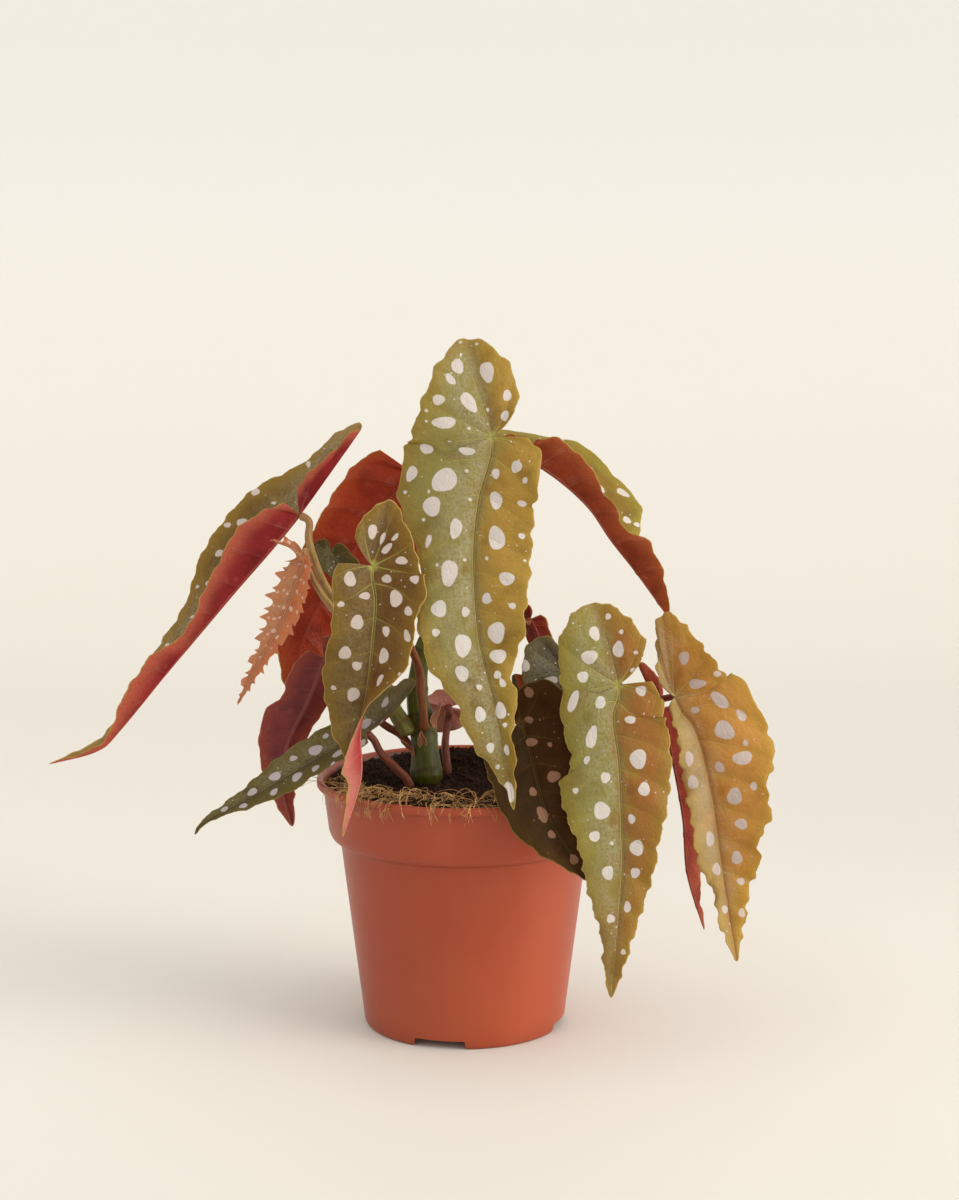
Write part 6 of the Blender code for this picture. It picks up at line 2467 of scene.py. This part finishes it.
# ------------------------------------------------------------------ the plant
def leaf_finishes() -> dict[str, LeafFinish]:
    """Colours of the blades.

    Returns:
        A finish for each blade, by its name.
    """
    # A darker palette, darker spots too, partly painted shade for leaves that hang in shadow.
    dark = LeafFinish(
        left=rgb(66, 62, 44), right=rgb(72, 52, 24), tip=rgb(80, 54, 20), deep=rgb(44, 30, 14),
        vein=rgb(112, 108, 66), edge=rgb(104, 94, 40), line=rgb(120, 104, 56), dot=rgb(172, 156, 140),
        through=rgb(150, 96, 36), painted_sheen=0.25, share=0.22, shine=0.16)
    return {
        "front_tall": LeafFinish(),
        "front_left_small": LeafFinish(
            left=rgb(118, 96, 46), right=rgb(112, 80, 34), tip=rgb(112, 88, 30), deep=rgb(70, 48, 20),
            edge=rgb(146, 120, 38), through=rgb(190, 130, 40), painted_sheen=0.2, dot=rgb(222, 214, 204),
            under=rgb(188, 68, 68), under_deep=rgb(156, 34, 48), under_edge=rgb(230, 166, 146),
            under_vein=rgb(236, 160, 140)),
        "left_long": LeafFinish(
            left=rgb(124, 104, 46), right=rgb(122, 100, 44), tip=rgb(150, 122, 60),
            deep=rgb(92, 68, 30), under=rgb(164, 44, 46), under_deep=rgb(116, 24, 30),
            under_edge=rgb(226, 130, 96), under_vein=rgb(206, 104, 92)),
        "left_back": LeafFinish(
            under=rgb(172, 60, 33), under_deep=rgb(112, 30, 16), under_edge=rgb(204, 100, 50)),
        "left_purple": LeafFinish(
            left=rgb(92, 84, 44), right=rgb(92, 80, 40), under=rgb(140, 62, 62),
            under_deep=rgb(92, 38, 44), under_edge=rgb(178, 84, 60), under_vein=rgb(160, 96, 88),
            line=rgb(196, 130, 104)),
        "left_low": replace(
            dark, left=rgb(98, 84, 46), right=rgb(86, 74, 38), tip=rgb(128, 116, 44),
            dot=rgb(186, 176, 178), under=rgb(140, 56, 70), under_deep=rgb(100, 34, 46),
            under_edge=rgb(190, 96, 96)),
        "left_young": LeafFinish(
            left=rgb(218, 136, 84), right=rgb(210, 124, 72), tip=rgb(186, 110, 58),
            deep=rgb(162, 86, 48), vein=rgb(232, 180, 138), edge=rgb(216, 150, 106),
            dot=rgb(236, 206, 184), line=rgb(214, 150, 108), through=rgb(236, 140, 92),
            under=rgb(176, 92, 72), under_deep=rgb(140, 62, 46), under_edge=rgb(214, 140, 104),
            share=0.42),
        "right_arch": LeafFinish(
            left=rgb(128, 102, 40), right=rgb(148, 122, 44), tip=rgb(140, 84, 40),
            edge=rgb(166, 168, 66), under=rgb(172, 76, 46), under_deep=rgb(120, 46, 28),
            under_edge=rgb(208, 116, 66), under_vein=rgb(210, 126, 106)),
        "right_front": LeafFinish(
            left=rgb(142, 142, 70), right=rgb(168, 114, 54), tip=rgb(176, 122, 60),
            deep=rgb(118, 80, 34), edge=rgb(154, 138, 48), painted_sheen=0.6),
        # Painted sheen: the pale cream of the viewer's left side.
        "right_outer": LeafFinish(
            left=rgb(216, 196, 142), right=rgb(220, 170, 86), tip=rgb(190, 160, 62),
            deep=rgb(172, 116, 46), vein=rgb(216, 198, 130), edge=rgb(176, 158, 52),
            through=rgb(244, 200, 100), painted_sheen=0.7, share=0.48),
        "right_red_edge": LeafFinish(
            under=rgb(170, 72, 58), under_deep=rgb(118, 38, 36), under_edge=rgb(202, 116, 84),
            line=rgb(190, 122, 94)),
        "right_grey": replace(
            dark, left=rgb(88, 86, 72), right=rgb(74, 66, 46), dot=rgb(206, 202, 192)),
        # Painted shade: this leaf hangs in shadow, so its colours and its spots are darker still.
        "front_dark": replace(
            dark, left=rgb(62, 46, 28), right=rgb(66, 40, 18), tip=rgb(72, 46, 20),
            deep=rgb(42, 27, 13), edge=rgb(84, 60, 26), vein=rgb(92, 70, 38), dot=rgb(150, 112, 90),
            painted_sheen=0.0, shine=0.03),
        "inner_red": LeafFinish(
            under=rgb(120, 34, 28), under_deep=rgb(80, 20, 16), under_edge=rgb(160, 64, 40)),
        "back_pink": LeafFinish(
            under=rgb(224, 156, 152), under_deep=rgb(198, 122, 120), under_edge=rgb(232, 176, 160),
            under_vein=rgb(220, 160, 150), line=rgb(210, 150, 130)),
        "inner_dark": dark,
        "withered": LeafFinish(
            left=rgb(150, 136, 66), right=rgb(128, 100, 52), tip=rgb(110, 74, 40), deep=rgb(96, 66, 36),
            under=rgb(140, 110, 60), under_deep=rgb(100, 70, 38), under_edge=rgb(170, 140, 80),
            painted_sheen=0.0, specks=0.0),
        "stipule": LeafFinish(
            left=rgb(150, 92, 66), right=rgb(140, 80, 56), tip=rgb(120, 70, 46), deep=rgb(96, 54, 36),
            vein=rgb(176, 124, 92), edge=rgb(176, 120, 90), under=rgb(150, 96, 70),
            under_deep=rgb(104, 60, 42), under_edge=rgb(184, 130, 96), line=rgb(196, 150, 116),
            painted_sheen=0.0, specks=0.0, rough=0.6),
    }


def leaves() -> list[Leaf]:
    """Shapes, colours and spots of the leaves.

    Returns:
        Every leaf of the plant.
    """
    f = leaf_finishes()
    coarse = 1.0          # mesh size of the blades that hide behind others
    return [
        Leaf("front_tall", Blade(
            ((2, -32, 281), (11, -36, 243), (6, -41, 219), (4, -47, 197), (6, -58, 168), (12, -68, 143),
             (19, -80, 107)), ((0.0, -1, 0.25), (0.0, -1, 0.2), (0.1, -1, 0.1)), FRONT_TALL, 33, 22, -1,
            ((6, 6), (10, 10), (10, 10)), ((-14, -10), (-22, -16), (-6, -6)), 2.2, 5,
            margin=Margin(0.9, 12.5, 0.08, 3.1)), f["front_tall"], dots=TALL_DOTS, seed=3),
        Leaf("front_left_small", Blade(
            ((-28, -54, 221), (-34, -58, 196), (-33, -60, 183), (-34, -63, 168), (-36, -64, 150),
             (-39, -64, 134), (-39, -63, 115), (-46, -62, 92)),
            ((0.1, -1, 0.2), (0.0, -1, 0.15), (-0.1, -1, 0.1), (-0.6, -1, 0), (-1, -0.6, 0)),
            FRONT_LEFT_SMALL, 20, 17, 1, ((10, 10), (8, 8), (6, 14), (0, 70), (10, 100), (30, 60)),
            ((10, 0), (0, 0), (0, 10), (0, 40)), 1.4, 4, pitch=13.0),
            f["front_left_small"], dots=SMALL_DOTS, seed=5),
        Leaf("left_long", Blade(
            ((-41, 5, 245), (-66, 0, 209), (-95, -8, 175), (-117, -16, 149), (-136, -22, 126),
             (-145, -26, 118), (-163, -32, 114)),
            ((-0.6, 0.3, 0.75), (-0.65, 0.25, 0.7), (-0.7, 0.1, 0.7), (-0.3, 0.1, 1)),
            LEFT_LONG, 27, 14, -1, ((55, 55), (58, 58), (50, 55), (40, 50)),
            ((10, 10), (20, 25), (10, 20)), 1.3, 4),
            f["left_long"], seed=9),
        Leaf("left_back", Blade(
            ((11, 42, 262), (-22, 43, 222), (-41, 42, 197), (-59, 38, 170), (-69, 34, 148), (-73, 30, 122)),
            ((-0.1, 0.95, 0.35), (-0.1, 1, 0.2), (-0.2, 1, 0)), WING, 31, 21, -1,
            ((14, 14), (16, 16), (20, 20)), ((16, 16), (10, 10)), 1.8, 4, False, step=coarse),
            f["left_back"], Slot.UNDER, seed=12),
        Leaf("left_purple", Blade(
            ((-52, 8, 159), (-57, 10, 149), (-64, 13, 131), (-73, 14, 112), (-75, 12, 94), (-71, 8, 79)),
            ((-0.3, 0.9, 0.35), (-0.3, 0.95, 0.2), (-0.2, 1, 0.1)), LEFT_PURPLE, 12, 16, -1,
            ((14, 30), (12, 40), (10, 30)), ((20, 20), (10, 20)), 1.2, 3, pitch=10.0,
            margin=Margin(0.5, 9.0, 0.08, 3.0)), f["left_purple"], Slot.UNDER, seed=15),
        Leaf("left_low", Blade(
            ((-19, -27, 146), (-39, -19, 124), (-57, -22, 114.5), (-80, -30, 102), (-101, -38, 92),
             (-105, -42, 88)), ((-0.3, -0.3, 0.9), (-0.2, -0.35, 0.9), (-0.2, -0.4, 0.9)), WING, 10, 7, -1,
            ((34, 0), (30, -14), (20, -8)), ((10, -10), (10, -10)), 0.8, 3, False, pitch=10.0),
            f["left_low"], Slot.DARK, LOW_DOTS, seed=18),
        Leaf("left_young", Blade(
            ((-76, -20, 202), (-64, -12, 194), (-67, -16, 181), (-73, -20, 166), (-81, -24, 152),
             (-89, -28, 137)), ((-0.4, -0.6, 0.7), (-0.4, -0.9, 0.2), (-0.5, -0.8, 0.2)),
            LEFT_YOUNG, 8, 7, -1, ((30, 24), (12, 14), (10, 12)), ((6, 6),), 0.6, 4, pitch=6.0,
            margin=Margin(1.1, 9.0, 1.5, 4.6), step=0.6),
            f["left_young"], Slot.YOUNG, seed=21, density=0.95, size=1.2),
        Leaf("right_arch", Blade(
            ((13, 18, 238), (24, 20, 231), (39, 18, 221), (51, 14, 210), (60, 10, 197), (71, 6, 183),
             (82, 0, 168)), ((0.2, 0.3, 0.9), (0.5, 0.25, 0.8), (0.7, 0.2, 0.7), (0.5, 0.6, 0.5)),
            RIGHT_ARCH, 32, 13, 1, ((40, 15), (50, 30), (45, 42), (25, 25)),
            ((15, 20), (20, 25), (10, 20)), 1.8, 4, False),
            f["right_arch"], seed=24, density=0.95, size=1.25),
        Leaf("right_front", Blade(
            ((50, -52, 181), (59, -56, 150), (57, -60, 138), (59, -65, 121), (60, -69, 96), (60, -72, 78),
             (56, -79, 34)), ((-0.05, -1, 0.2), (0.0, -1, 0.15), (0.0, -1, 0.1)), RIGHT_FRONT, 22, 20, -1,
            ((6, 6), (10, 10), (8, 8)), ((-12, -12), (-16, -16)), 1.8, 5, pitch=13.0,
            margin=Margin(0.7, 9.0, 0.16, 3.2)), f["right_front"], dots=FRONT_DOTS, seed=27),
        Leaf("right_outer", Blade(
            ((78, -24, 173), (83, -28, 140), (91, -32, 127), (97, -36, 104), (100, -40, 83), (103, -43, 62),
             (107, -46, 38)), ((-0.2, -1, 0.15), (-0.25, -1, 0.1), (-0.1, -1, 0.1)), RIGHT_OUTER, 27, 10, 1,
            ((20, 4), (34, 4), (30, 4)), ((0, -14), (0, -14)), 2.2, 5, pitch=13.0,
            margin=Margin(0.9, 8.5, 0.14, 3.6)), f["right_outer"], dots=OUTER_DOTS, seed=30),
        Leaf("right_red_edge", Blade(
            ((71, 5, 148), (79, 4, 129), (84, 2, 112), (89, -2, 85), (91, -4, 62), (98, -6, 39)),
            ((0.7, 0.7, 0.2), (0.75, 0.65, 0.1), (0.7, 0.7, 0.1)), WING, 14, 11, 1,
            ((40, 40), (50, 50), (50, 50)), ((10, 10),), 0.8, 4, False, step=coarse),
            f["right_red_edge"], Slot.UNDER, seed=33),
        Leaf("right_grey", Blade(
            ((30, 9, 158), (40, 9, 143), (36, 7, 127), (35, 5, 114), (38, 4, 106)),
            ((0.1, -0.9, 0.4), (0.1, -0.9, 0.3), (0, -1, 0.2)), WING, 20, 10, -1, ((8, 8), (8, 8)),
            ((-10, -10),), 1.0, 3, False, pitch=11.0), f["right_grey"], dots=GREY_DOTS, seed=36),
        Leaf("front_dark", Blade(
            ((15, -46, 141), (22, -50, 134), (27, -57, 119), (32, -65, 101), (47, -69, 77)),
            ((-0.1, -0.9, 0.45), (-0.1, -0.85, 0.5), (0.0, -0.8, 0.5)), WING, 21, 18, 1, ((6, 6), (8, 8)),
            ((-10, -10),), 0.8, 3, False, pitch=11.0), f["front_dark"], Slot.DARK, DARK_DOTS, seed=39),
        Leaf("inner_red", Blade(
            ((23, 17, 171), (27, 17, 164), (31, 16, 155), (35, 13, 146)),
            ((0.3, 0.9, 0.3), (0.3, 0.9, 0.1)), WING, 7, 6, 1, ((20, 20),), ((0, 0),), 0.4, 3, False,
            pitch=6.0, step=coarse),
            f["inner_red"], Slot.UNDER, seed=42),
        Leaf("back_pink", Blade(
            ((-7, 26, 133), (-7, 25, 126), (-12, 29, 119), (-19, 32, 114)), ((0, 0.8, 0.6), (0, 0.7, 0.7)),
            WING, 14, 12, 1, ((4, 4),), ((0, 0),), 0.9, 3, False, pitch=7.0, step=coarse),
            f["back_pink"], Slot.UNDER, seed=45),
        Leaf("inner_dark", Blade(
            ((-60, 12, 197), (-55, 11, 193), (-47, 9, 185), (-40, 6, 176)),
            ((-0.1, -0.9, 0.4), (0.1, -0.9, 0.3)), WING, 8, 6, -1, ((10, 10),), ((0, 0),), 0.5, 3,
            False, pitch=6.0, step=coarse),
            f["inner_dark"], Slot.DARK, seed=48),
        Leaf("withered", Blade(
            ((-12, 5, 150), (-9, 6, 146), (-6, 6.5, 141), (-5, 7, 136)),
            ((0, -1, 0.3), (0.2, -1, 0.3)), LANCE, 4.5, 4.0, 1, ((20, 20),), ((0, 0),), 0.4, 3,
            False, False, 0.4, 6.0, (1, 1),
            Margin(0.5, 4.0, 0.2, 1.6), 0.8, 0.5), f["withered"], Slot.DRY, seed=51, density=0.0),
    ]


def bracts(canes: dict[str, Cane]) -> list[Leaf]:
    """The dry pointed scales beside the lower joints of the main cane.

    Args:
        canes: The canes by name.

    Returns:
        The scales, built like leaves.
    """
    finish = leaf_finishes()["stipule"]
    out = []
    for name, share, way, lean, length in (("stipule_upper", 0.25, (1, -0.4, 0), 0.36, 11.0),
                                           ("stipule_left", 0.155, (-0.1, -1, 0), 0.24, 6.5),
                                           ("stipule_low", 0.13, (-1, -0.6, 0), 0.60, 8.0)):
        axis, along, radius = canes["cane_main"].at(share)
        out_way = np.array(way, float)
        out_way = unit(out_way - along * float(out_way @ along))
        foot = axis + out_way * (radius + 0.2)
        grow = unit(along + out_way * lean)
        spine = (tuple(foot - along * 0.6), tuple(foot + along * length * 0.4 + out_way * lean * 1.5),
                 tuple(foot + grow * length + out_way * lean * 2))
        blade = Blade(spine, (tuple(out_way), tuple(out_way)), LANCE, length * 0.30, length * 0.26, 1,
                      ((-12, -12), (30, 30)), ((0, 0),), 0.3, 2, False, False, 0.3, 5.0, (1, 1),
                      Margin(0.35, 3.0, 0.15, 1.2), 0.5, 0.45)
        out.append(Leaf(name, blade, finish, Slot.DRY, seed=len(name), density=0.0))
    return out


def plant_canes() -> dict[str, Cane]:
    """The three canes; the left one leaves the main one.

    Returns:
        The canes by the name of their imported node.
    """
    green = StemFinish(rgb(60, 70, 10), rgb(98, 102, 22), rgb(56, 42, 12), rgb(124, 124, 40), rough=0.3)
    right = StemFinish(rgb(78, 74, 24), rgb(118, 74, 34), rgb(70, 40, 20), rgb(134, 116, 58), rough=0.3)
    young = StemFinish(rgb(104, 108, 44), rgb(164, 164, 84), rgb(96, 78, 38), rgb(176, 170, 100))
    main = Cane(((-15, -12, 95.3), (-15, -12, 104), (-16, -8, 118), (-17, -5, 125), (-19, -3, 136),
                 (-17, 0, 152), (-9, 2, 172), (-1, 1, 192), (4, 0, 212), (5, -1, 224)),
                (6.3, 6.3, 5.2, 5.1, 4.0, 3.6, 3.2, 3.0, 3.0, 2.2), green,
                (0.085, 0.19, 0.26, 0.335, 0.45, 0.575, 0.70, 0.82, 0.91))
    side = Cane(((22, -2, 95.3), (22, -2, 104), (27, -3, 111), (34, -5, 120), (41, -7, 131), (47, -9, 144),
                 (51, -11, 157)), (4.6, 4.6, 3.9, 3.5, 3.3, 3.1, 2.4), right,
                (0.16, 0.33, 0.52, 0.70, 0.84, 0.94))
    axis, along, bark = main.at(0.235)
    way = np.array((-29, -7, 132.5)) - axis
    way = unit(way - along * float(way @ along))
    start = tuple(tuple(axis + way * d) for d in (bark * 0.3, bark + 1.5))
    left = Cane(start + ((-29, -7, 132.5), (-36, -8, 152), (-43, -8, 166), (-49, -8, 179)),
                (3.4, 3.3, 3.0, 2.8, 2.7, 2.9), young, (0.14, 0.36, 0.58, 0.78, 0.92))
    return {"cane_main": main, "cane_right": side, "cane_left": left}


def stalks() -> list[Stalk]:
    """Ways, thicknesses and colours of the leaf stalks.

    Returns:
        Every leaf stalk.
    """
    brown = StemFinish(rgb(126, 76, 40), rgb(128, 66, 40), rgb(92, 44, 28), rgb(170, 128, 78))
    red = StemFinish(rgb(132, 76, 48), rgb(136, 52, 40), rgb(100, 36, 30), rgb(176, 110, 84))
    tan = StemFinish(rgb(168, 150, 84), rgb(172, 132, 84), rgb(136, 92, 56), rgb(204, 184, 128))
    pink = StemFinish(rgb(114, 64, 42), rgb(126, 66, 50), rgb(90, 42, 32), rgb(160, 106, 80))
    green = StemFinish(rgb(140, 138, 62), rgb(150, 138, 70), rgb(120, 84, 48), rgb(186, 176, 110))
    rows = (
        ("front_tall", "front_tall", "cane_main", 0.93, ((8, -11, 222), (11, -19, 238)), 1.9, 1.6, green),
        ("front_left_small", "front_left", "cane_main", 0.27, ((-17, -14, 138), (-19, -17, 153),
                                                               (-31, -44, 184)), 1.8, 1.3, brown),
        ("left_long", "left_long", "cane_left", 0.90, ((-57, -5, 184), (-62, -2, 198)), 1.8, 1.5, tan),
        ("left_back", "left_back", "cane_main", 0.52, ((-14, 9, 163), (-10, 18, 182), (-14, 31, 212)),
         1.8, 1.5, brown),
        ("left_purple", "left_purple", "cane_main", 0.17, ((-26, -3, 120), (-35, -2, 126), (-50, 4, 143)),
         1.7, 1.3, red),
        ("left_low", "left_low", None, 0.0, ((-22, -18, 95.3), (-22, -18, 103), (-27, -18, 109),
                                             (-33, -17, 115)), 2.0, 1.4, pink),
        ("left_young", "left_young", "cane_left", 0.80, ((-56, -13, 178), (-62, -10, 189)), 1.5, 1.1, tan),
        ("right_arch", "right_arch", "cane_main", 0.86, ((6, 9, 212), (17, 14, 222)), 1.8, 1.4, brown),
        ("right_front", "right_front", "cane_right", 0.93, ((51, -20, 158), (57, -44, 155)), 1.7, 1.4, red),
        ("right_outer", "right_outer", "cane_right", 0.80, ((60, -10, 142), (72, -13, 136)), 1.6, 1.3, red),
        ("right_red_edge", "right_red", "cane_right", 0.62, ((50, -2, 133), (66, 0, 123)), 1.5, 1.2, red),
        ("right_grey", "right_grey", "cane_right", 0.86, ((54, -2, 153), (53, 9, 152), (46, 14, 147)),
         1.3, 1.1, brown),
        ("front_dark", "front_dark", "cane_right", 0.30, ((26, -14, 112), (24, -34, 122)), 1.6, 1.3, red),
        ("inner_red", "inner_red", "cane_main", 0.70, ((4, 9, 184), (18, 11, 172)), 1.2, 1.0, brown),
        ("back_pink", "back_pink", None, 0.0, ((-7, 8, 95.3), (-7, 8, 103), (-8, 12, 112), (-7, 20, 120)),
         1.8, 1.4, pink),
        ("inner_dark", "inner_dark", "cane_left", 0.62, ((-41, 3, 163), (-44, 15, 170), (-53, 18, 187)),
         1.2, 1.0, brown),
        ("withered", "withered", "cane_main", 0.36, ((-21, 5, 144), (-19, 10, 148)), 0.9, 0.8, tan),
    )
    return [Stalk(leaf, "petiole_" + name, cane, share, points, thick, thin, finish)
            for leaf, name, cane, share, points, thick, thin, finish in rows]


class Plant:
    """Canes, stalks, blades and bracts."""

    def __init__(self, site: Site) -> None:
        """Note where the pot stands."""
        self.site = site

    def build(self) -> list[Piece]:
        """Make the whole plant and hang it on the root.

        Returns:
            Its pieces.
        """
        canes = plant_canes()
        made = [cane.build(name, self.site, k) for k, (name, cane) in enumerate(canes.items())]
        blades = {}
        for leaf in leaves() + bracts(canes):
            blades[leaf.name] = leaf.blade.laid()
            made.append(leaf.build(self.site))
        for k, stalk in enumerate(stalks()):
            made.append(stalk.build(self.site, canes, blades[stalk.leaf], k))
        return made


# ------------------------------------------------------------------ stage
@dataclass(frozen=True)
class Lamp:
    """A soft light: a sun, or a square lamp whose light spreads little.

    Args:
        name: Its name; the one called "sun" is a sun.
        place: Where it hangs, in millimetres.
        aim: What it points at.
        power: Its power, and its angle in radians or its size in metres.
        colour: Its colour.
    """

    name: str
    place: Point
    aim: Point
    power: tuple[float, float]
    colour: Colour

    SPREAD = 50.0         # degrees that a square lamp's light spreads

    def hang(self, site: Site) -> None:
        """Put the light in the scene.

        Args:
            site: Where the pot stands.
        """
        sun = self.name == "sun"
        data = bpy.data.lights.new(self.name, "SUN" if sun else "AREA")
        data.energy, wide = self.power
        data.color = self.colour
        if sun:
            data.angle = wide
        else:
            data.shape = "SQUARE"
            data.size = wide
            data.spread = math.radians(self.SPREAD)
        obj = link(self.name, data)
        place, aim = (Vector(site.metres(np.array(p))) for p in (self.place, self.aim))
        obj.location = place
        obj.rotation_euler = (aim - place).to_track_quat("-Z", "Y").to_euler()


class Studio:
    """Cream sweep, soft lights and the camera."""

    EYE: Point = (6.2, -935.0, 311.7)
    PITCH = 8.35          # degrees that the camera looks down
    LENS = 70.35
    SENSOR = 36.0
    WIDE = 2600.0         # half width of the sweep, and the height of its backdrop
    FRONT, BACK = -1600.0, 700.0
    BEND = 500.0          # radius of the sweep's bend
    LAMPS = (
        Lamp("sun", (850, -520, 600), (0, 0, 100), (1.0, 0.46), rgb(255, 249, 238)),
        Lamp("side", (720, -170, 230), (0, 0, 120), (0.6, 0.5), rgb(255, 248, 238)),
    )

    def __init__(self, site: Site) -> None:
        """Note where the pot stands."""
        self.site = site

    def sweep(self) -> None:
        """The floor, which rises into a backdrop."""
        bend = [k * math.pi / 2 / 24 for k in range(1, 25)]
        section = [(self.FRONT, 0.0), (self.BACK, 0.0)]
        section += [(self.BACK + self.BEND * math.sin(a), self.BEND - self.BEND * math.cos(a))
                    for a in bend]
        section.append((self.BACK + self.BEND, self.WIDE))
        verts = [(x, y, z) for x in (-self.WIDE, self.WIDE) for y, z in section]
        n = len(section)
        faces = [(i, i + 1, i + n + 1, i + n) for i in range(n - 1)]
        p = Paint("cream sweep")
        body = p.mix(p.noise(p.place(), 3.0, 2.0), rgb(221, 218, 213), rgb(219, 216, 210))
        split = p.node("ShaderNodeSeparateXYZ", Vector=p.place())
        body = p.mix(p.step(split.outputs[2], 0.02, 0.45), body, rgb(224, 224, 223))
        paper = p.surface(body, 0.6, specular=0.2)
        Shell(np.array(verts), faces).piece("floor", self.site, [paper])

    def light(self) -> None:
        """A pale world, a wide sun from the front right and a soft lamp at the right."""
        world = bpy.data.worlds.new("studio")
        world.use_nodes = True
        back = world.node_tree.nodes["Background"]
        back.inputs["Color"].default_value = (*rgb(255, 251, 243), 1.0)
        back.inputs["Strength"].default_value = 1.12
        bpy.context.scene.world = world
        for lamp in self.LAMPS:
            lamp.hang(self.site)

    def camera(self) -> None:
        """The camera at the front, a little above the plant's middle."""
        data = bpy.data.cameras.new("camera")
        data.lens = self.LENS
        data.sensor_width = self.SENSOR
        obj = link("camera", data)
        obj.location = self.site.metres(np.array(self.EYE)).tolist()
        obj.rotation_euler = (math.radians(90.0 - self.PITCH), 0.0, 0.0)
        bpy.context.scene.camera = obj
        bpy.context.scene.view_settings.view_transform = "Standard"

    def build(self) -> None:
        """Set the stage."""
        self.sweep()
        self.light()
        self.camera()


def main() -> None:
    """Build every piece in order."""
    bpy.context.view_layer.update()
    site = Site.of_pot()
    Pot().build(site)
    Soil().build(site)
    Coir().build(site)
    Plant(site).build()
    Studio(site).build()
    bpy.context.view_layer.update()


if __name__ == "__main__":
    logging.basicConfig(level=logging.INFO)
    main()
